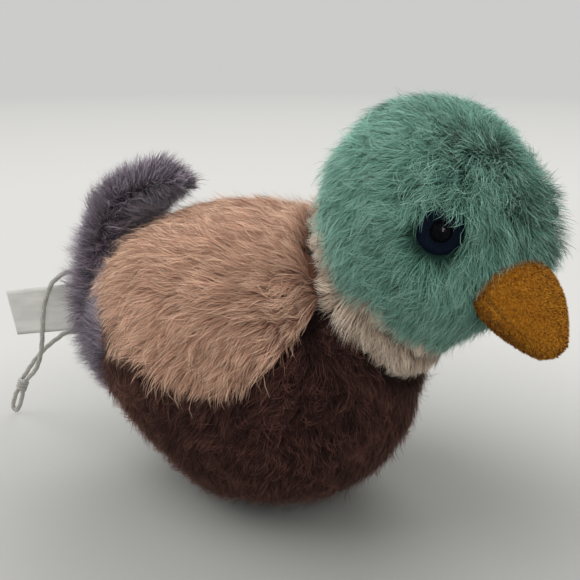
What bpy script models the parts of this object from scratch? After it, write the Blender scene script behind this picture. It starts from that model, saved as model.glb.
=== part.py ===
"""Plush drake: pile-fabric covers sewn round stuffing, with a bill, safety eyes, a ribbon label and a hang cord.

Metres, +Z up. The duck faces +X with its left side at +Y. The origin is on the floor, at the middle of the
small flat that the belly rests on.
"""

import math

import bmesh
import bpy
import numpy as np
from mathutils import Matrix, Vector

# Fits and fabric
GAP = 0.0003  # between pieces that touch
OVERRUN = 0.03  # how far a cutter runs past what it cuts
PILE = 0.006  # a cover's thickness: backing cloth and the fur that lies on it
WING_PROUD = 0.002  # how far the longer tan fur stands over the brown
REST_CUT = 0.0005  # depth of the flat under the belly

# Body: an egg along X, widest at its waist
BODY_FRONT = 0.0552
BODY_BACK = 0.0555
BODY_HALF_WIDTH = 0.047
BODY_WAIST = 0.052  # height of its widest level
BODY_HEIGHT = 0.0935
BODY_FRONT_FULLNESS = 2.6  # exponent of its underside: 2 is an ellipsoid, more is fuller
BODY_BACK_FULLNESS = 1.85

# Head: an egg, turned towards the duck's right
HEAD_REACH = 0.056  # its centre ahead of the body's
HEAD_RISE = 0.0945
HEAD_HALF_LENGTH = 0.035
HEAD_HALF_WIDTH = 0.035
HEAD_TOP = 0.0353
HEAD_BOTTOM = 0.0335
HEAD_TURN = math.radians(-29.0)
GUSSET_LENGTH_SHARE = 1.12  # of the head's length
GUSSET_WIDTH = 0.028
GUSSET_LOW_SHARE = 0.2  # how far under the head's centre it starts, of HEAD_BOTTOM

# Neck ring, square to a sloping axis
NECK_REACH = 0.0435
NECK_RISE = 0.075
NECK_TILT = math.radians(34.0)
NECK_RADIUS = 0.027
NECK_TAPER_SHARE = 0.5  # how fast the head narrows to it, of the way past the ring
NAPE_FLARE_SHARE = 2.0  # how fast the head's cover widens at the nape, of the same way
NAPE_ROOM = 0.0075  # how far past the neck that flare starts
NAPE_BLEND = 0.004
NECK_BLEND = 0.008  # how softly head and body flow into the neck
NECK_CAP = 0.022  # how far past the ring's middle each form's neck runs, before it is cut
RING_WIDTH = 0.010
RING_PROUD = 0.0022  # its pile, past the neck
PLUG_SLACK = 0.0008  # round the fibre that runs through the ring
PLUG_LAP = 0.001  # how far that fibre runs into the head's
RING_CROWN_SHARES = ((-1.0, 0.25), (-0.7, 0.75), (0.0, 1.0), (0.7, 0.75), (1.0, 0.25))

# Belly panel and wings
BELLY_LENGTH_SHARE = 0.62  # of the body's length and width
BELLY_WIDTH_SHARE = 0.60
BELLY_SEAM_SHARE = 0.55  # height under which the panel's walls cut, of BODY_WAIST
# The wings' and the rump's outlines seen from the side: shares of BODY_FRONT and BODY_HEIGHT
WING_OUTLINE_SHARES = (
    (-0.98, 0.84), (-0.50, 0.725), (-0.35, 0.655), (-0.18, 0.61), (0.0, 0.58), (0.17, 0.57),
    (0.33, 0.595), (0.455, 0.645), (0.54, 0.70), (0.60, 0.77), (0.70, 0.88), (1.12, 1.0),
    (1.12, 1.3), (-0.98, 1.3),
)
RUMP_OUTLINE_SHARES = (
    (-0.80, 1.3), (-0.79, 0.90), (-0.72, 0.76), (-0.585, 0.64), (-0.66, 0.50), (-0.79, 0.34),
    (-0.90, 0.18), (-1.5, 0.18), (-1.7, 0.70), (-1.5, 1.3),
)

# Tail: a lobe that climbs the rump and curls forward over the back
TAIL_REACH = 0.0555  # its middle line behind the body's centre
TAIL_RISE = 0.099
TAIL_THICKNESS = 0.020
TAIL_WIDTH = 0.037
# Along the middle line: shares of TAIL_REACH and TAIL_RISE, then of half the thickness
TAIL_SPINE_SHARES = (
    (-0.75, 0.14), (-0.92, 0.30), (-0.99, 0.48), (-0.97, 0.65), (-0.935, 0.80), (-0.84, 0.925),
    (-0.68, 0.985), (-0.50, 1.0), (-0.38, 0.985),
)
TAIL_SWELL_SHARES = (0.55, 0.85, 1.0, 1.0, 0.98, 0.92, 0.84, 0.72, 0.50)
TAIL_BLUNT_SHARE = 0.45  # exponent of its ends: a half is round, less is blunter

# Bill: a velour paddle
BILL_PITCH = math.radians(-38.5)
BILL_ROOT_RISE = math.radians(-21.0)  # where it leaves the head, seen from the head's centre
BILL_LENGTH = 0.0205
BILL_EMBED = 0.012
BILL_WIDTH = 0.0265
BILL_THICKNESS = 0.019
BILL_DROOP = 0.0015
BILL_WALL = 0.0015
BILL_SEAM_SHARE = 0.1  # height of its side seam over the middle, of half the thickness
BILL_SPREAD_SHARES = (0.75, 1.0, 1.0, 0.95, 0.87, 0.78, 0.70)
BILL_SWELL_SHARES = (0.75, 1.0, 1.0, 0.92, 0.82, 0.72, 0.62)
BILL_BLUNT_SHARE = 0.4

# Eyes: a bead with a stem, a disc under it and a washer inside
EYE_SPREAD = math.radians(38.5)
EYE_LIFT = math.radians(8.0)
EYE_DISC_RADIUS = 0.0062
EYE_DISC_THICKNESS = 0.0016
EYE_POCKET = 0.0042
EYE_BEAD_RADIUS = 0.0028
EYE_BEAD_HEIGHT = 0.0024
EYE_STEM_RADIUS = 0.0011
EYE_STEM_TAIL = 0.0042  # its reach behind the cover
EYE_WASHER_RADIUS = 0.0048
EYE_WASHER_THICKNESS = 0.0014

# Pellet bag, low in the body
PELLET_BACK = 0.012
PELLET_END_ROOM = 0.0175  # fibre left past its ends and its sides
PELLET_SIDE_ROOM = 0.012
PELLET_HALF_HEIGHT = 0.014
PELLET_RISE = 0.019

# Ribbon label, folded at its far end, and the hang cord
LABEL_WIDTH = 0.0168
LABEL_LENGTH = 0.0376
LABEL_EMBED = 0.0045
LABEL_PLY = 0.0004
LABEL_FOLD = 0.0006  # from its middle to each ply's middle
LABEL_SINK = 0.0005  # how deep in the tail's outer curve its root lies
LABEL_RISE = 0.0521
LABEL_TILT = math.radians(9.0)
LABEL_SWING = math.radians(14.0)  # towards the duck's right
CORD_DIAMETER = 0.0018
CORD_STEP_SHARE = 2.4  # point spacing, of the diameter
KNOT_RADIUS = 0.0023
KNOT_LENGTH = 0.0058
LOOP_SPREAD = 0.0027  # between the middles of its two legs

# The cord's two strands, from the rump to the knot
UPPER_STRAND = (
    (-0.0642, 0.0000, 0.0638), (-0.0735, -0.0020, 0.0639), (-0.0783, -0.0048, 0.0607),
    (-0.0804, -0.0062, 0.0564), (-0.0821, -0.0070, 0.0509), (-0.0830, -0.0074, 0.0441),
    (-0.0860, -0.0060, 0.0332), (-0.0918, -0.0028, 0.0247), (-0.0974, -0.0004, 0.0195),
    (-0.1018, 0.0008, 0.0160),
)
LOWER_STRAND = (
    (-0.0640, 0.0002, 0.0416), (-0.0774, 0.0004, 0.0400), (-0.0835, 0.0004, 0.0365),
    (-0.0893, 0.0006, 0.0320), (-0.0938, 0.0010, 0.0279), (-0.0977, 0.0016, 0.0238),
    (-0.1010, 0.0021, 0.0200), (-0.1034, 0.0022, 0.0170),
)
KNOT_END = (-0.1103, 0.0030, 0.0016)  # the middle of the loop's far end

# Mesh fineness, in counts
OUTER_CUTS = 9
INNER_CUTS = 6
OUTLINE_STEPS = 4
TURN_STEPS = 20
RING_STEPS = 32
LOBE_SIDES = 16
LOBE_RINGS = 16
CORE_SIDES = 12
CORE_RINGS = 10
SOLVE_STEPS = 40
SMALLEST_RATIO = 1e-6

BODY_CENTRE = np.array([0.0, 0.0, BODY_WAIST])
HEAD_CENTRE = np.array([HEAD_REACH, 0.0, HEAD_RISE])
NECK_CENTRE = np.array([NECK_REACH, 0.0, NECK_RISE])
NECK_AXIS = np.array([math.cos(NECK_TILT), 0.0, math.sin(NECK_TILT)])
WIDE = BODY_FRONT + BODY_BACK  # wider than anything on the duck


# Collections, materials and cuts


def clear_scene():
    for item in list(bpy.data.objects):
        bpy.data.objects.remove(item)


def new_collection(name):
    collection = bpy.data.collections.new(name)
    bpy.context.scene.collection.children.link(collection)
    return collection


def new_material(name, colour, roughness, metallic=0.0):
    material = bpy.data.materials.new(name)
    material.use_nodes = True
    shader = material.node_tree.nodes["Principled BSDF"]
    shader.inputs["Base Color"].default_value = (*colour, 1.0)
    shader.inputs["Roughness"].default_value = roughness
    shader.inputs["Metallic"].default_value = metallic
    return material


def place(bm, name, collection, material=None):
    """Turns a bmesh into a smooth-shaded object in a collection."""
    mesh = bpy.data.meshes.new(name)
    bm.to_mesh(mesh)
    bm.free()
    mesh.shade_smooth()
    item = bpy.data.objects.new(name, mesh)
    collection.objects.link(item)
    if material:
        mesh.materials.append(material)
    return item


def as_cutter(item):
    item.hide_render = True
    item.display_type = "WIRE"
    return item


def cut(part, cutter, operation="DIFFERENCE"):
    modifier = part.modifiers.new(cutter.name, "BOOLEAN")
    modifier.operation = operation
    modifier.solver = "EXACT"
    modifier.object = cutter


def keep(part, cutter):
    cut(part, cutter, "INTERSECT")


# Soft forms, found along rays from their centres


def quad_sphere(cuts):
    """A unit sphere of even quads, from a cube."""
    bm = bmesh.new()
    bmesh.ops.create_cube(bm, size=2.0)
    bmesh.ops.subdivide_edges(bm, edges=bm.edges[:], cuts=cuts, use_grid_fill=True)
    for vert in bm.verts:
        vert.co = Vector([math.tan(value * math.pi / 4) for value in vert.co]).normalized()
    return bm


def egg_distance(points, centre, front, back, half_width, top, bottom, fullness=(2.0, 2.0)):
    """How far each point lies outside an egg, along the ray from the egg's centre."""
    offset = points - centre
    length = np.where(offset[:, 0] > 0, front, back)
    height = np.where(offset[:, 2] > 0, top, bottom)
    ahead = (1 + offset[:, 0] / np.maximum(np.linalg.norm(offset, axis=1), SMALLEST_RATIO)) / 2
    power = np.where(offset[:, 2] > 0, 2.0, fullness[0] * ahead + fullness[1] * (1 - ahead))
    flat = np.hypot(offset[:, 0] / length, offset[:, 1] / half_width)
    size = (flat**power + np.abs(offset[:, 2] / height) ** power) ** (1 / power)
    return np.linalg.norm(offset, axis=1) * (1 - 1 / np.maximum(size, SMALLEST_RATIO))


def neck_distance(points, low, high):
    """How far each point lies outside the neck, which narrows past the ring, between two stations on its axis."""
    offset = points - NECK_CENTRE
    along = offset @ NECK_AXIS
    radius = NECK_RADIUS - NECK_TAPER_SHARE * np.maximum(along - RING_WIDTH / 2, 0.0)
    out = np.linalg.norm(offset - np.outer(along, NECK_AXIS), axis=1) - radius
    return np.maximum(out, np.maximum(along - high, low - along))


def nape_distance(points):
    """How far each point lies outside the cone that the head's cover widens along, from the ring up."""
    offset = points - NECK_CENTRE
    along = offset @ NECK_AXIS
    radius = NECK_RADIUS + NAPE_ROOM + NAPE_FLARE_SHARE * (along - RING_WIDTH / 2)
    out = np.linalg.norm(offset - np.outer(along, NECK_AXIS), axis=1) - radius
    return out / math.hypot(1.0, NAPE_FLARE_SHARE)


def smooth_min(first, second, blend):
    share = np.maximum(blend - np.abs(first - second), 0.0) / blend
    return np.minimum(first, second) - share * share * blend / 4


def body_distance(points):
    egg = egg_distance(
        points, BODY_CENTRE, BODY_FRONT, BODY_BACK, BODY_HALF_WIDTH,
        BODY_HEIGHT - BODY_WAIST, BODY_WAIST + REST_CUT, (BODY_FRONT_FULLNESS, BODY_BACK_FULLNESS),
    )
    root = float((BODY_CENTRE - NECK_CENTRE) @ NECK_AXIS)
    return smooth_min(egg, neck_distance(points, root, NECK_CAP), NECK_BLEND)


def head_distance(points):
    turn = np.array(Matrix.Rotation(-HEAD_TURN, 3, "Z"))
    turned = (points - HEAD_CENTRE) @ turn.T + HEAD_CENTRE
    egg = egg_distance(
        turned, HEAD_CENTRE, HEAD_HALF_LENGTH, HEAD_HALF_LENGTH, HEAD_HALF_WIDTH, HEAD_TOP, HEAD_BOTTOM
    )
    root = float((HEAD_CENTRE - NECK_CENTRE) @ NECK_AXIS)
    return smooth_min(egg, neck_distance(points, -NECK_CAP, root), NECK_BLEND)


def head_cover_distance(points):
    return -smooth_min(-head_distance(points), -nape_distance(points), NAPE_BLEND)


def reach(distance, centre, directions, offset=0.0):
    """Where rays from the centre meet the form, grown by an offset."""
    low = np.zeros(len(directions))
    high = np.full(len(directions), WIDE)
    for _ in range(SOLVE_STEPS):
        middle = (low + high) / 2
        outside = distance(centre + directions * middle[:, None]) > offset
        high = np.where(outside, middle, high)
        low = np.where(outside, low, middle)
    return low


def form(name, collection, distance, centre, cuts, offset=0.0, material=None):
    bm = quad_sphere(cuts)
    directions = np.array([vert.co[:] for vert in bm.verts])
    lengths = reach(distance, centre, directions, offset)
    for vert, direction, length in zip(bm.verts, directions, lengths):
        vert.co = Vector(centre + direction * length)
    # Nested forms get the same diagonals, so their facets never cross
    bmesh.ops.triangulate(bm, faces=bm.faces[:], quad_method="FIXED")
    return place(bm, name, collection, material)


def along_curve(points, share):
    """A smooth curve through a list of points, at a share of its point count."""
    values = np.asarray(points, float)
    last = len(values) - 1
    index = min(int(share * last), last - 1)
    t = share * last - index
    before = values[max(index - 1, 0)]
    start, end = values[index], values[index + 1]
    after = values[min(index + 2, last)]
    return start + t * (
        (end - before) / 2
        + t * ((2 * before - 5 * start + 4 * end - after) / 2 + t * (3 * (start - end) + after - before) / 2)
    )


def lobe(name, collection, spine, widths, heights, power, sides, rings, trim=0.0, material=None):
    """A round form bent along a spine in the XZ plane: half widths lie along Y, half heights square to both."""
    bm = bmesh.new()
    bmesh.ops.create_uvsphere(bm, u_segments=sides, v_segments=rings, radius=1.0)
    spine = np.asarray(spine, float)
    end = trim / np.linalg.norm(np.diff(spine, axis=0), axis=1).sum()
    for vert in bm.verts:
        share = math.acos(max(-1.0, min(1.0, -vert.co.z))) / math.pi
        share = end + share * (1 - 2 * end)
        ring = math.hypot(vert.co.x, vert.co.y)
        middle = along_curve(spine, share)
        ahead = along_curve(spine, min(1.0, share + SMALLEST_RATIO))
        behind = along_curve(spine, max(0.0, share - SMALLEST_RATIO))
        run = (ahead - behind) / np.linalg.norm(ahead - behind)
        blunt = ring**power / ring if ring > SMALLEST_RATIO else 0.0
        side = vert.co.y * blunt * (float(along_curve(widths, share)) - trim)
        rise = -vert.co.x * blunt * (float(along_curve(heights, share)) - trim)
        vert.co = (middle[0] - run[1] * rise, side, middle[1] + run[0] * rise)
    return place(bm, name, collection, material)


# Cutters


def box(name, low, high, matrix=None):
    bm = bmesh.new()
    bmesh.ops.create_cube(bm, size=1.0)
    low, high = Vector(low), Vector(high)
    for vert in bm.verts:
        vert.co = (low + high) / 2 + Matrix.Diagonal(high - low) @ vert.co
    item = as_cutter(place(bm, name, cutters))
    item.matrix_world = matrix or Matrix()
    return item


def half(name, side, matrix=None):
    """Everything on one side of the middle plane; +1 is the duck's left."""
    edges = sorted((side * GAP / 2, side * WIDE))
    return box(name, (-WIDE, edges[0], -WIDE), (WIDE, edges[1], 2 * WIDE), matrix)


def rod(name, radius, low, high, matrix, width_share=1.0):
    """A cylinder along the matrix's Z, between two stations on it."""
    bm = bmesh.new()
    bmesh.ops.create_cone(
        bm, cap_ends=True, segments=RING_STEPS, radius1=radius, radius2=radius, depth=high - low
    )
    for vert in bm.verts:
        vert.co = (vert.co.x, vert.co.y * width_share, vert.co.z + (high + low) / 2)
    item = as_cutter(place(bm, name, cutters))
    item.matrix_world = matrix
    return item


def outline_prism(name, shares, grow=0.0):
    """A closed side outline through hand-chosen points, run across the whole width."""
    curve = bpy.data.curves.new(name, "CURVE")
    curve.dimensions = "2D"
    curve.fill_mode = "BOTH"
    curve.extrude = WIDE
    curve.resolution_u = OUTLINE_STEPS
    curve.offset = grow
    spline = curve.splines.new("BEZIER")
    spline.bezier_points.add(len(shares) - 1)
    spline.use_cyclic_u = True
    for point, (along, up) in zip(spline.bezier_points, shares):
        point.co = (along * BODY_FRONT, up * BODY_HEIGHT, 0.0)
        point.handle_left_type = "AUTO"
        point.handle_right_type = "AUTO"
    return as_cutter(mesh_from_curve(name, curve, Matrix.Rotation(math.pi / 2, 4, "X"), cutters))


def mesh_from_curve(name, curve, matrix, collection, material=None):
    """Makes a curve a closed mesh object, its caps welded, and removes the curve."""
    guide = bpy.data.objects.new(name + "_guide", curve)
    collection.objects.link(guide)
    guide.matrix_world = matrix
    bpy.context.view_layer.update()
    graph = bpy.context.evaluated_depsgraph_get()
    mesh = bpy.data.meshes.new_from_object(guide.evaluated_get(graph))
    bpy.data.objects.remove(guide)
    bm = bmesh.new()
    bm.from_mesh(mesh)
    bmesh.ops.remove_doubles(bm, verts=bm.verts[:], dist=GAP / 10)
    bmesh.ops.recalc_face_normals(bm, faces=bm.faces[:])
    bmesh.ops.transform(bm, matrix=matrix, verts=bm.verts[:])
    return place(bm, name, collection, material)


def turned(name, profile, matrix, collection, material, steps=TURN_STEPS):
    """A profile of (radius, height) points, outer side downwards, turned about the matrix's Z."""
    mesh = bpy.data.meshes.new(name)
    closed = min(radius for radius, _ in profile) > 0
    edges = [(i, i + 1) for i in range(len(profile) - 1)]
    if closed:
        edges.append((len(profile) - 1, 0))
    mesh.from_pydata([(radius, 0.0, height) for radius, height in profile], edges, [])
    item = bpy.data.objects.new(name, mesh)
    collection.objects.link(item)
    mesh.materials.append(material)
    item.matrix_world = matrix
    screw = item.modifiers.new("turn", "SCREW")
    screw.steps = steps
    screw.render_steps = steps
    screw.use_merge_vertices = True
    screw.merge_threshold = GAP / 100
    screw.use_smooth_shade = True
    return item


def frame_at(point, direction):
    """A matrix whose origin is the point and whose Z runs along the direction."""
    turn = Vector(direction).to_track_quat("Z", "Y").to_matrix().to_4x4()
    return Matrix.Translation(Vector(point)) @ turn


# The whole duck

clear_scene()
parts = new_collection("plush_duck")
cutters = new_collection("cutters")

TEAL = new_material("teal_pile", (0.11, 0.25, 0.18), 0.9)
CREAM = new_material("cream_pile", (0.48, 0.37, 0.29), 0.9)
BROWN = new_material("brown_pile", (0.045, 0.022, 0.017), 0.9)
TAN = new_material("tan_pile", (0.42, 0.25, 0.17), 0.9)
GREY = new_material("grey_pile", (0.09, 0.075, 0.085), 0.9)
OCHRE = new_material("ochre_velour", (0.26, 0.11, 0.015), 0.85)
NAVY = new_material("navy_disc", (0.004, 0.009, 0.022), 0.5)
BLACK = new_material("black_bead", (0.004, 0.004, 0.005), 0.08)
CLEAR = new_material("washer_plastic", (0.6, 0.6, 0.58), 0.4)
FIBRE = new_material("stuffing_fibre", (0.8, 0.8, 0.78), 1.0)
CALICO = new_material("pellet_bag_cloth", (0.6, 0.56, 0.48), 0.9)
RIBBON = new_material("label_ribbon", (0.56, 0.55, 0.51), 0.6)
TWINE = new_material("cord_cotton", (0.52, 0.5, 0.45), 0.9)

head_matrix = Matrix.Translation(Vector(HEAD_CENTRE)) @ Matrix.Rotation(HEAD_TURN, 4, "Z")
neck_matrix = frame_at(NECK_CENTRE, NECK_AXIS)
RING_HALF = RING_WIDTH / 2

body_cavity = as_cutter(
    form("body_cavity", cutters, body_distance, BODY_CENTRE, INNER_CUTS, -PILE)
)
head_cavity = as_cutter(
    form("head_cavity", cutters, head_distance, HEAD_CENTRE, INNER_CUTS, -PILE)
)
neck_up = rod("neck_up", WIDE, -RING_HALF - GAP, WIDE, neck_matrix)
neck_down = rod("neck_down", WIDE, -WIDE, RING_HALF + GAP, neck_matrix)
halves = {"left": half("left_half", 1), "right": half("right_half", -1)}
head_halves = {
    "left": half("left_head_half", 1, head_matrix),
    "right": half("right_head_half", -1, head_matrix),
}
SIDES = (("left", 1), ("right", -1))


# Tail and rump, one cover for each side and the core between them


def tail_form(name, collection, sides, rings, trim=0.0, material=None):
    spine = [(x * TAIL_REACH, z * TAIL_RISE) for x, z in TAIL_SPINE_SHARES]
    widths = [share * TAIL_WIDTH / 2 for share in TAIL_SWELL_SHARES]
    heights = [share * TAIL_THICKNESS / 2 for share in TAIL_SWELL_SHARES]
    return lobe(
        name, collection, spine, widths, heights, TAIL_BLUNT_SHARE, sides, rings, trim, material
    )


label_reach = TAIL_REACH + TAIL_THICKNESS / 2 - LABEL_SINK
label_turn = Matrix.Rotation(LABEL_SWING, 4, "Z") @ Matrix.Rotation(math.pi - LABEL_TILT, 4, "Y")
label_matrix = Matrix.Translation((-label_reach, 0.0, LABEL_RISE)) @ label_turn
LABEL_HALF = LABEL_FOLD + LABEL_PLY / 2
tail_outer = as_cutter(tail_form("tail_outer", cutters, LOBE_SIDES, LOBE_RINGS))
tail_grown = as_cutter(tail_form("tail_grown", cutters, LOBE_SIDES, LOBE_RINGS, -GAP))
tail_cavity = as_cutter(tail_form("tail_cavity", cutters, CORE_SIDES, CORE_RINGS, PILE))
rump_prism = outline_prism("rump_prism", RUMP_OUTLINE_SHARES)
rump_grown = outline_prism("rump_grown", RUMP_OUTLINE_SHARES, GAP)
label_slot = box(
    "label_slot",
    (-LABEL_EMBED - GAP, -LABEL_HALF - GAP, -LABEL_WIDTH / 2 - GAP),
    (OVERRUN, LABEL_HALF + GAP, LABEL_WIDTH / 2 + GAP),
    label_matrix,
)


def tail_cover(side):
    item = form("tail_" + side, parts, body_distance, BODY_CENTRE, OUTER_CUTS, 0.0, GREY)
    keep(item, rump_prism)
    cut(item, tail_outer, "UNION")
    cut(item, body_cavity)
    cut(item, tail_cavity)
    cut(item, label_slot)
    keep(item, halves[side])


for side, _ in SIDES:
    tail_cover(side)
tail_stuffing = tail_form("tail_stuffing", parts, CORE_SIDES, CORE_RINGS, PILE + GAP, FIBRE)
cut(tail_stuffing, body_cavity)


# Body: brown sides, tan wings over the back, and a brown belly panel

BODY_LENGTH = (BODY_FRONT + BODY_BACK) / 2
BELLY_HALF_LENGTH = BODY_LENGTH * BELLY_LENGTH_SHARE
BELLY_RATIO = BODY_HALF_WIDTH * BELLY_WIDTH_SHARE / BELLY_HALF_LENGTH
BELLY_SEAM = BODY_WAIST * BELLY_SEAM_SHARE
belly_prism = rod("belly_prism", BELLY_HALF_LENGTH, -OVERRUN, BELLY_SEAM, Matrix(), BELLY_RATIO)
belly_grown = rod(
    "belly_grown", BELLY_HALF_LENGTH + GAP / BELLY_RATIO, -OVERRUN, BELLY_SEAM, Matrix(), BELLY_RATIO
)
wing_prism = outline_prism("wing_prism", WING_OUTLINE_SHARES)
wing_grown = outline_prism("wing_grown", WING_OUTLINE_SHARES, GAP)
floor = box("floor", (-WIDE, -WIDE, -WIDE), (WIDE, WIDE, 0.0))


def body_side(side):
    item = form("body_side_" + side, parts, body_distance, BODY_CENTRE, OUTER_CUTS, 0.0, BROWN)
    for cutter in (body_cavity, neck_up, belly_grown, rump_grown, wing_grown, tail_grown):
        cut(item, cutter)
    keep(item, halves[side])


def wing(side):
    item = form("wing_" + side, parts, body_distance, BODY_CENTRE, OUTER_CUTS, WING_PROUD, TAN)
    for cutter in (body_cavity, neck_up, rump_grown, tail_grown):
        cut(item, cutter)
    keep(item, wing_prism)
    keep(item, halves[side])


for side, _ in SIDES:
    body_side(side)
    wing(side)
belly = form("belly_panel", parts, body_distance, BODY_CENTRE, OUTER_CUTS, 0.0, BROWN)
cut(belly, floor)
cut(belly, body_cavity)
keep(belly, belly_prism)


# Inside the body: fibre with a neck plug, and a bag of pellets low down


def pellet_egg(name, grow=0.0):
    centre = np.array([-PELLET_BACK, 0.0, PELLET_RISE])
    half_length = BODY_BACK - PILE - PELLET_END_ROOM
    half_width = BODY_HALF_WIDTH - PILE - PELLET_SIDE_ROOM

    def distance(points):
        long = half_length + grow
        high = PELLET_HALF_HEIGHT + grow
        return egg_distance(points, centre, long, long, half_width + grow, high, high)

    return as_cutter(form(name, cutters, distance, centre, INNER_CUTS))


plug_radius = NECK_RADIUS - PILE - PLUG_SLACK
body_plug = rod("body_plug", plug_radius, -RING_WIDTH, -GAP / 2, neck_matrix)
head_plug = rod("head_plug", plug_radius, GAP / 2, RING_HALF + PLUG_LAP, neck_matrix)
core = -PILE - GAP
body_stuffing = form("body_stuffing", parts, body_distance, BODY_CENTRE, INNER_CUTS, core, FIBRE)
cut(body_stuffing, neck_up)
cut(body_stuffing, body_plug, "UNION")
cut(body_stuffing, pellet_egg("pellet_space", GAP))
pellet_bag = form("pellet_bag", parts, body_distance, BODY_CENTRE, INNER_CUTS, core, CALICO)
keep(pellet_bag, pellet_egg("pellet_egg"))


# Neck ring


def ring_profile():
    outer = [
        (NECK_RADIUS + up * RING_PROUD, -across * RING_HALF) for across, up in RING_CROWN_SHARES
    ]
    inner = NECK_RADIUS - PILE
    return [(inner, RING_HALF), *outer, (inner, -RING_HALF)]


turned("neck_ring", ring_profile(), neck_matrix, parts, CREAM, RING_STEPS)


# Eyes


def eye_frame(sign):
    """The middle of an eye, on the head's outer surface, with Z facing out."""
    angle = HEAD_TURN + sign * EYE_SPREAD
    level = math.cos(EYE_LIFT)
    out = np.array([level * math.cos(angle), level * math.sin(angle), math.sin(EYE_LIFT)])
    far = reach(head_distance, HEAD_CENTRE, out[None, :])[0]
    return frame_at(HEAD_CENTRE + out * far, out)


# How far the cover's curved, faceted inside reaches past the washer's rim
LINING_RADIUS = HEAD_HALF_WIDTH - PILE
EYE_SAG = EYE_WASHER_RADIUS**2 / (2 * LINING_RADIUS)
FACET_SAG = LINING_RADIUS * (1 - math.cos(math.pi / 4 / (INNER_CUTS + 1)))
washer_top = -PILE - EYE_SAG - FACET_SAG - GAP
stem_end = washer_top - EYE_STEM_TAIL


def eye_pieces(side, sign):
    matrix = eye_frame(sign)
    stem_hole = EYE_STEM_RADIUS + GAP
    base = -EYE_POCKET + GAP
    top = base + EYE_DISC_THICKNESS
    rim = EYE_DISC_RADIUS
    soft = EYE_DISC_THICKNESS / 3
    disc = [
        (stem_hole, top), (rim - 2 * soft, top), (rim - soft / 2, top - soft), (rim, top - 2 * soft),
        (rim - soft / 2, base), (stem_hole, base),
    ]
    turned("eye_disc_" + side, disc, matrix, parts, NAVY)
    seat = top + GAP
    dome = [
        (EYE_BEAD_RADIUS * math.sin(turn), seat + EYE_BEAD_HEIGHT * math.cos(turn))
        for turn in np.linspace(0.0, math.pi / 2, TURN_STEPS // 4)
    ]
    dome[0] = (0.0, seat + EYE_BEAD_HEIGHT)
    bead = [*dome, (EYE_STEM_RADIUS, seat), (EYE_STEM_RADIUS, stem_end), (0.0, stem_end)]
    bead[len(dome) - 1] = (EYE_BEAD_RADIUS, seat + soft / 2)
    turned("eye_bead_" + side, bead, matrix, parts, BLACK)
    low = washer_top - EYE_WASHER_THICKNESS
    washer = [
        (stem_hole, washer_top), (EYE_WASHER_RADIUS, washer_top), (EYE_WASHER_RADIUS, low),
        (stem_hole, low),
    ]
    turned("eye_washer_" + side, washer, matrix, parts, CLEAR)
    return (
        rod("eye_pocket_" + side, rim + GAP, -EYE_POCKET, OVERRUN, matrix),
        rod("stem_hole_" + side, stem_hole, stem_end - GAP, OVERRUN, matrix),
        rod("washer_space_" + side, EYE_WASHER_RADIUS + GAP, stem_end - GAP, OVERRUN, matrix),
    )


# Head: two sides with a crown gusset between them, round a core of fibre

GUSSET_HALF_LENGTH = HEAD_HALF_LENGTH * GUSSET_LENGTH_SHARE
GUSSET_RATIO = GUSSET_WIDTH / 2 / GUSSET_HALF_LENGTH
gusset_low = -HEAD_BOTTOM * GUSSET_LOW_SHARE
gusset_prism = rod("gusset_prism", GUSSET_HALF_LENGTH, gusset_low, WIDE, head_matrix, GUSSET_RATIO)
gusset_grown = rod(
    "gusset_grown", GUSSET_HALF_LENGTH + GAP / GUSSET_RATIO, gusset_low - GAP, WIDE, head_matrix,
    GUSSET_RATIO,
)


def head_side(side, pocket, stem_hole):
    item = form("head_side_" + side, parts, head_cover_distance, HEAD_CENTRE, OUTER_CUTS, 0.0, TEAL)
    for cutter in (head_cavity, neck_down, gusset_grown, pocket, stem_hole):
        cut(item, cutter)
    keep(item, head_halves[side])


gusset = form("head_gusset", parts, head_cover_distance, HEAD_CENTRE, OUTER_CUTS, 0.0, TEAL)
cut(gusset, head_cavity)
cut(gusset, neck_down)
keep(gusset, gusset_prism)
head_stuffing = form("head_stuffing", parts, head_distance, HEAD_CENTRE, INNER_CUTS, core, FIBRE)
cut(head_stuffing, neck_down)
cut(head_stuffing, head_plug, "UNION")
for side, sign in SIDES:
    pocket, stem_hole, washer_space = eye_pieces(side, sign)
    head_side(side, pocket, stem_hole)
    cut(head_stuffing, washer_space)


# Bill: upper and lower velour shells, and the fibre inside


def bill_frame():
    """The bill's root on the head, with X out along the bill and Z over its upper side."""
    level = math.cos(BILL_ROOT_RISE)
    out = np.array([level * math.cos(HEAD_TURN), level * math.sin(HEAD_TURN), math.sin(BILL_ROOT_RISE)])
    far = reach(head_distance, HEAD_CENTRE, out[None, :])[0]
    turn = Matrix.Rotation(HEAD_TURN, 4, "Z") @ Matrix.Rotation(-BILL_PITCH, 4, "Y")
    return Matrix.Translation(Vector(HEAD_CENTRE + out * far)) @ turn


def bill_form(name, collection, sides, rings, trim=0.0, material=None):
    count = len(BILL_SPREAD_SHARES)
    whole = BILL_EMBED + BILL_LENGTH
    spine = [
        (whole * i / (count - 1) - BILL_EMBED, -BILL_DROOP * (i / (count - 1)) ** 2) for i in range(count)
    ]
    widths = [share * BILL_WIDTH / 2 for share in BILL_SPREAD_SHARES]
    heights = [share * BILL_THICKNESS / 2 for share in BILL_SWELL_SHARES]
    item = lobe(name, collection, spine, widths, heights, BILL_BLUNT_SHARE, sides, rings, trim, material)
    item.matrix_world = bill_matrix
    return item


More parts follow.
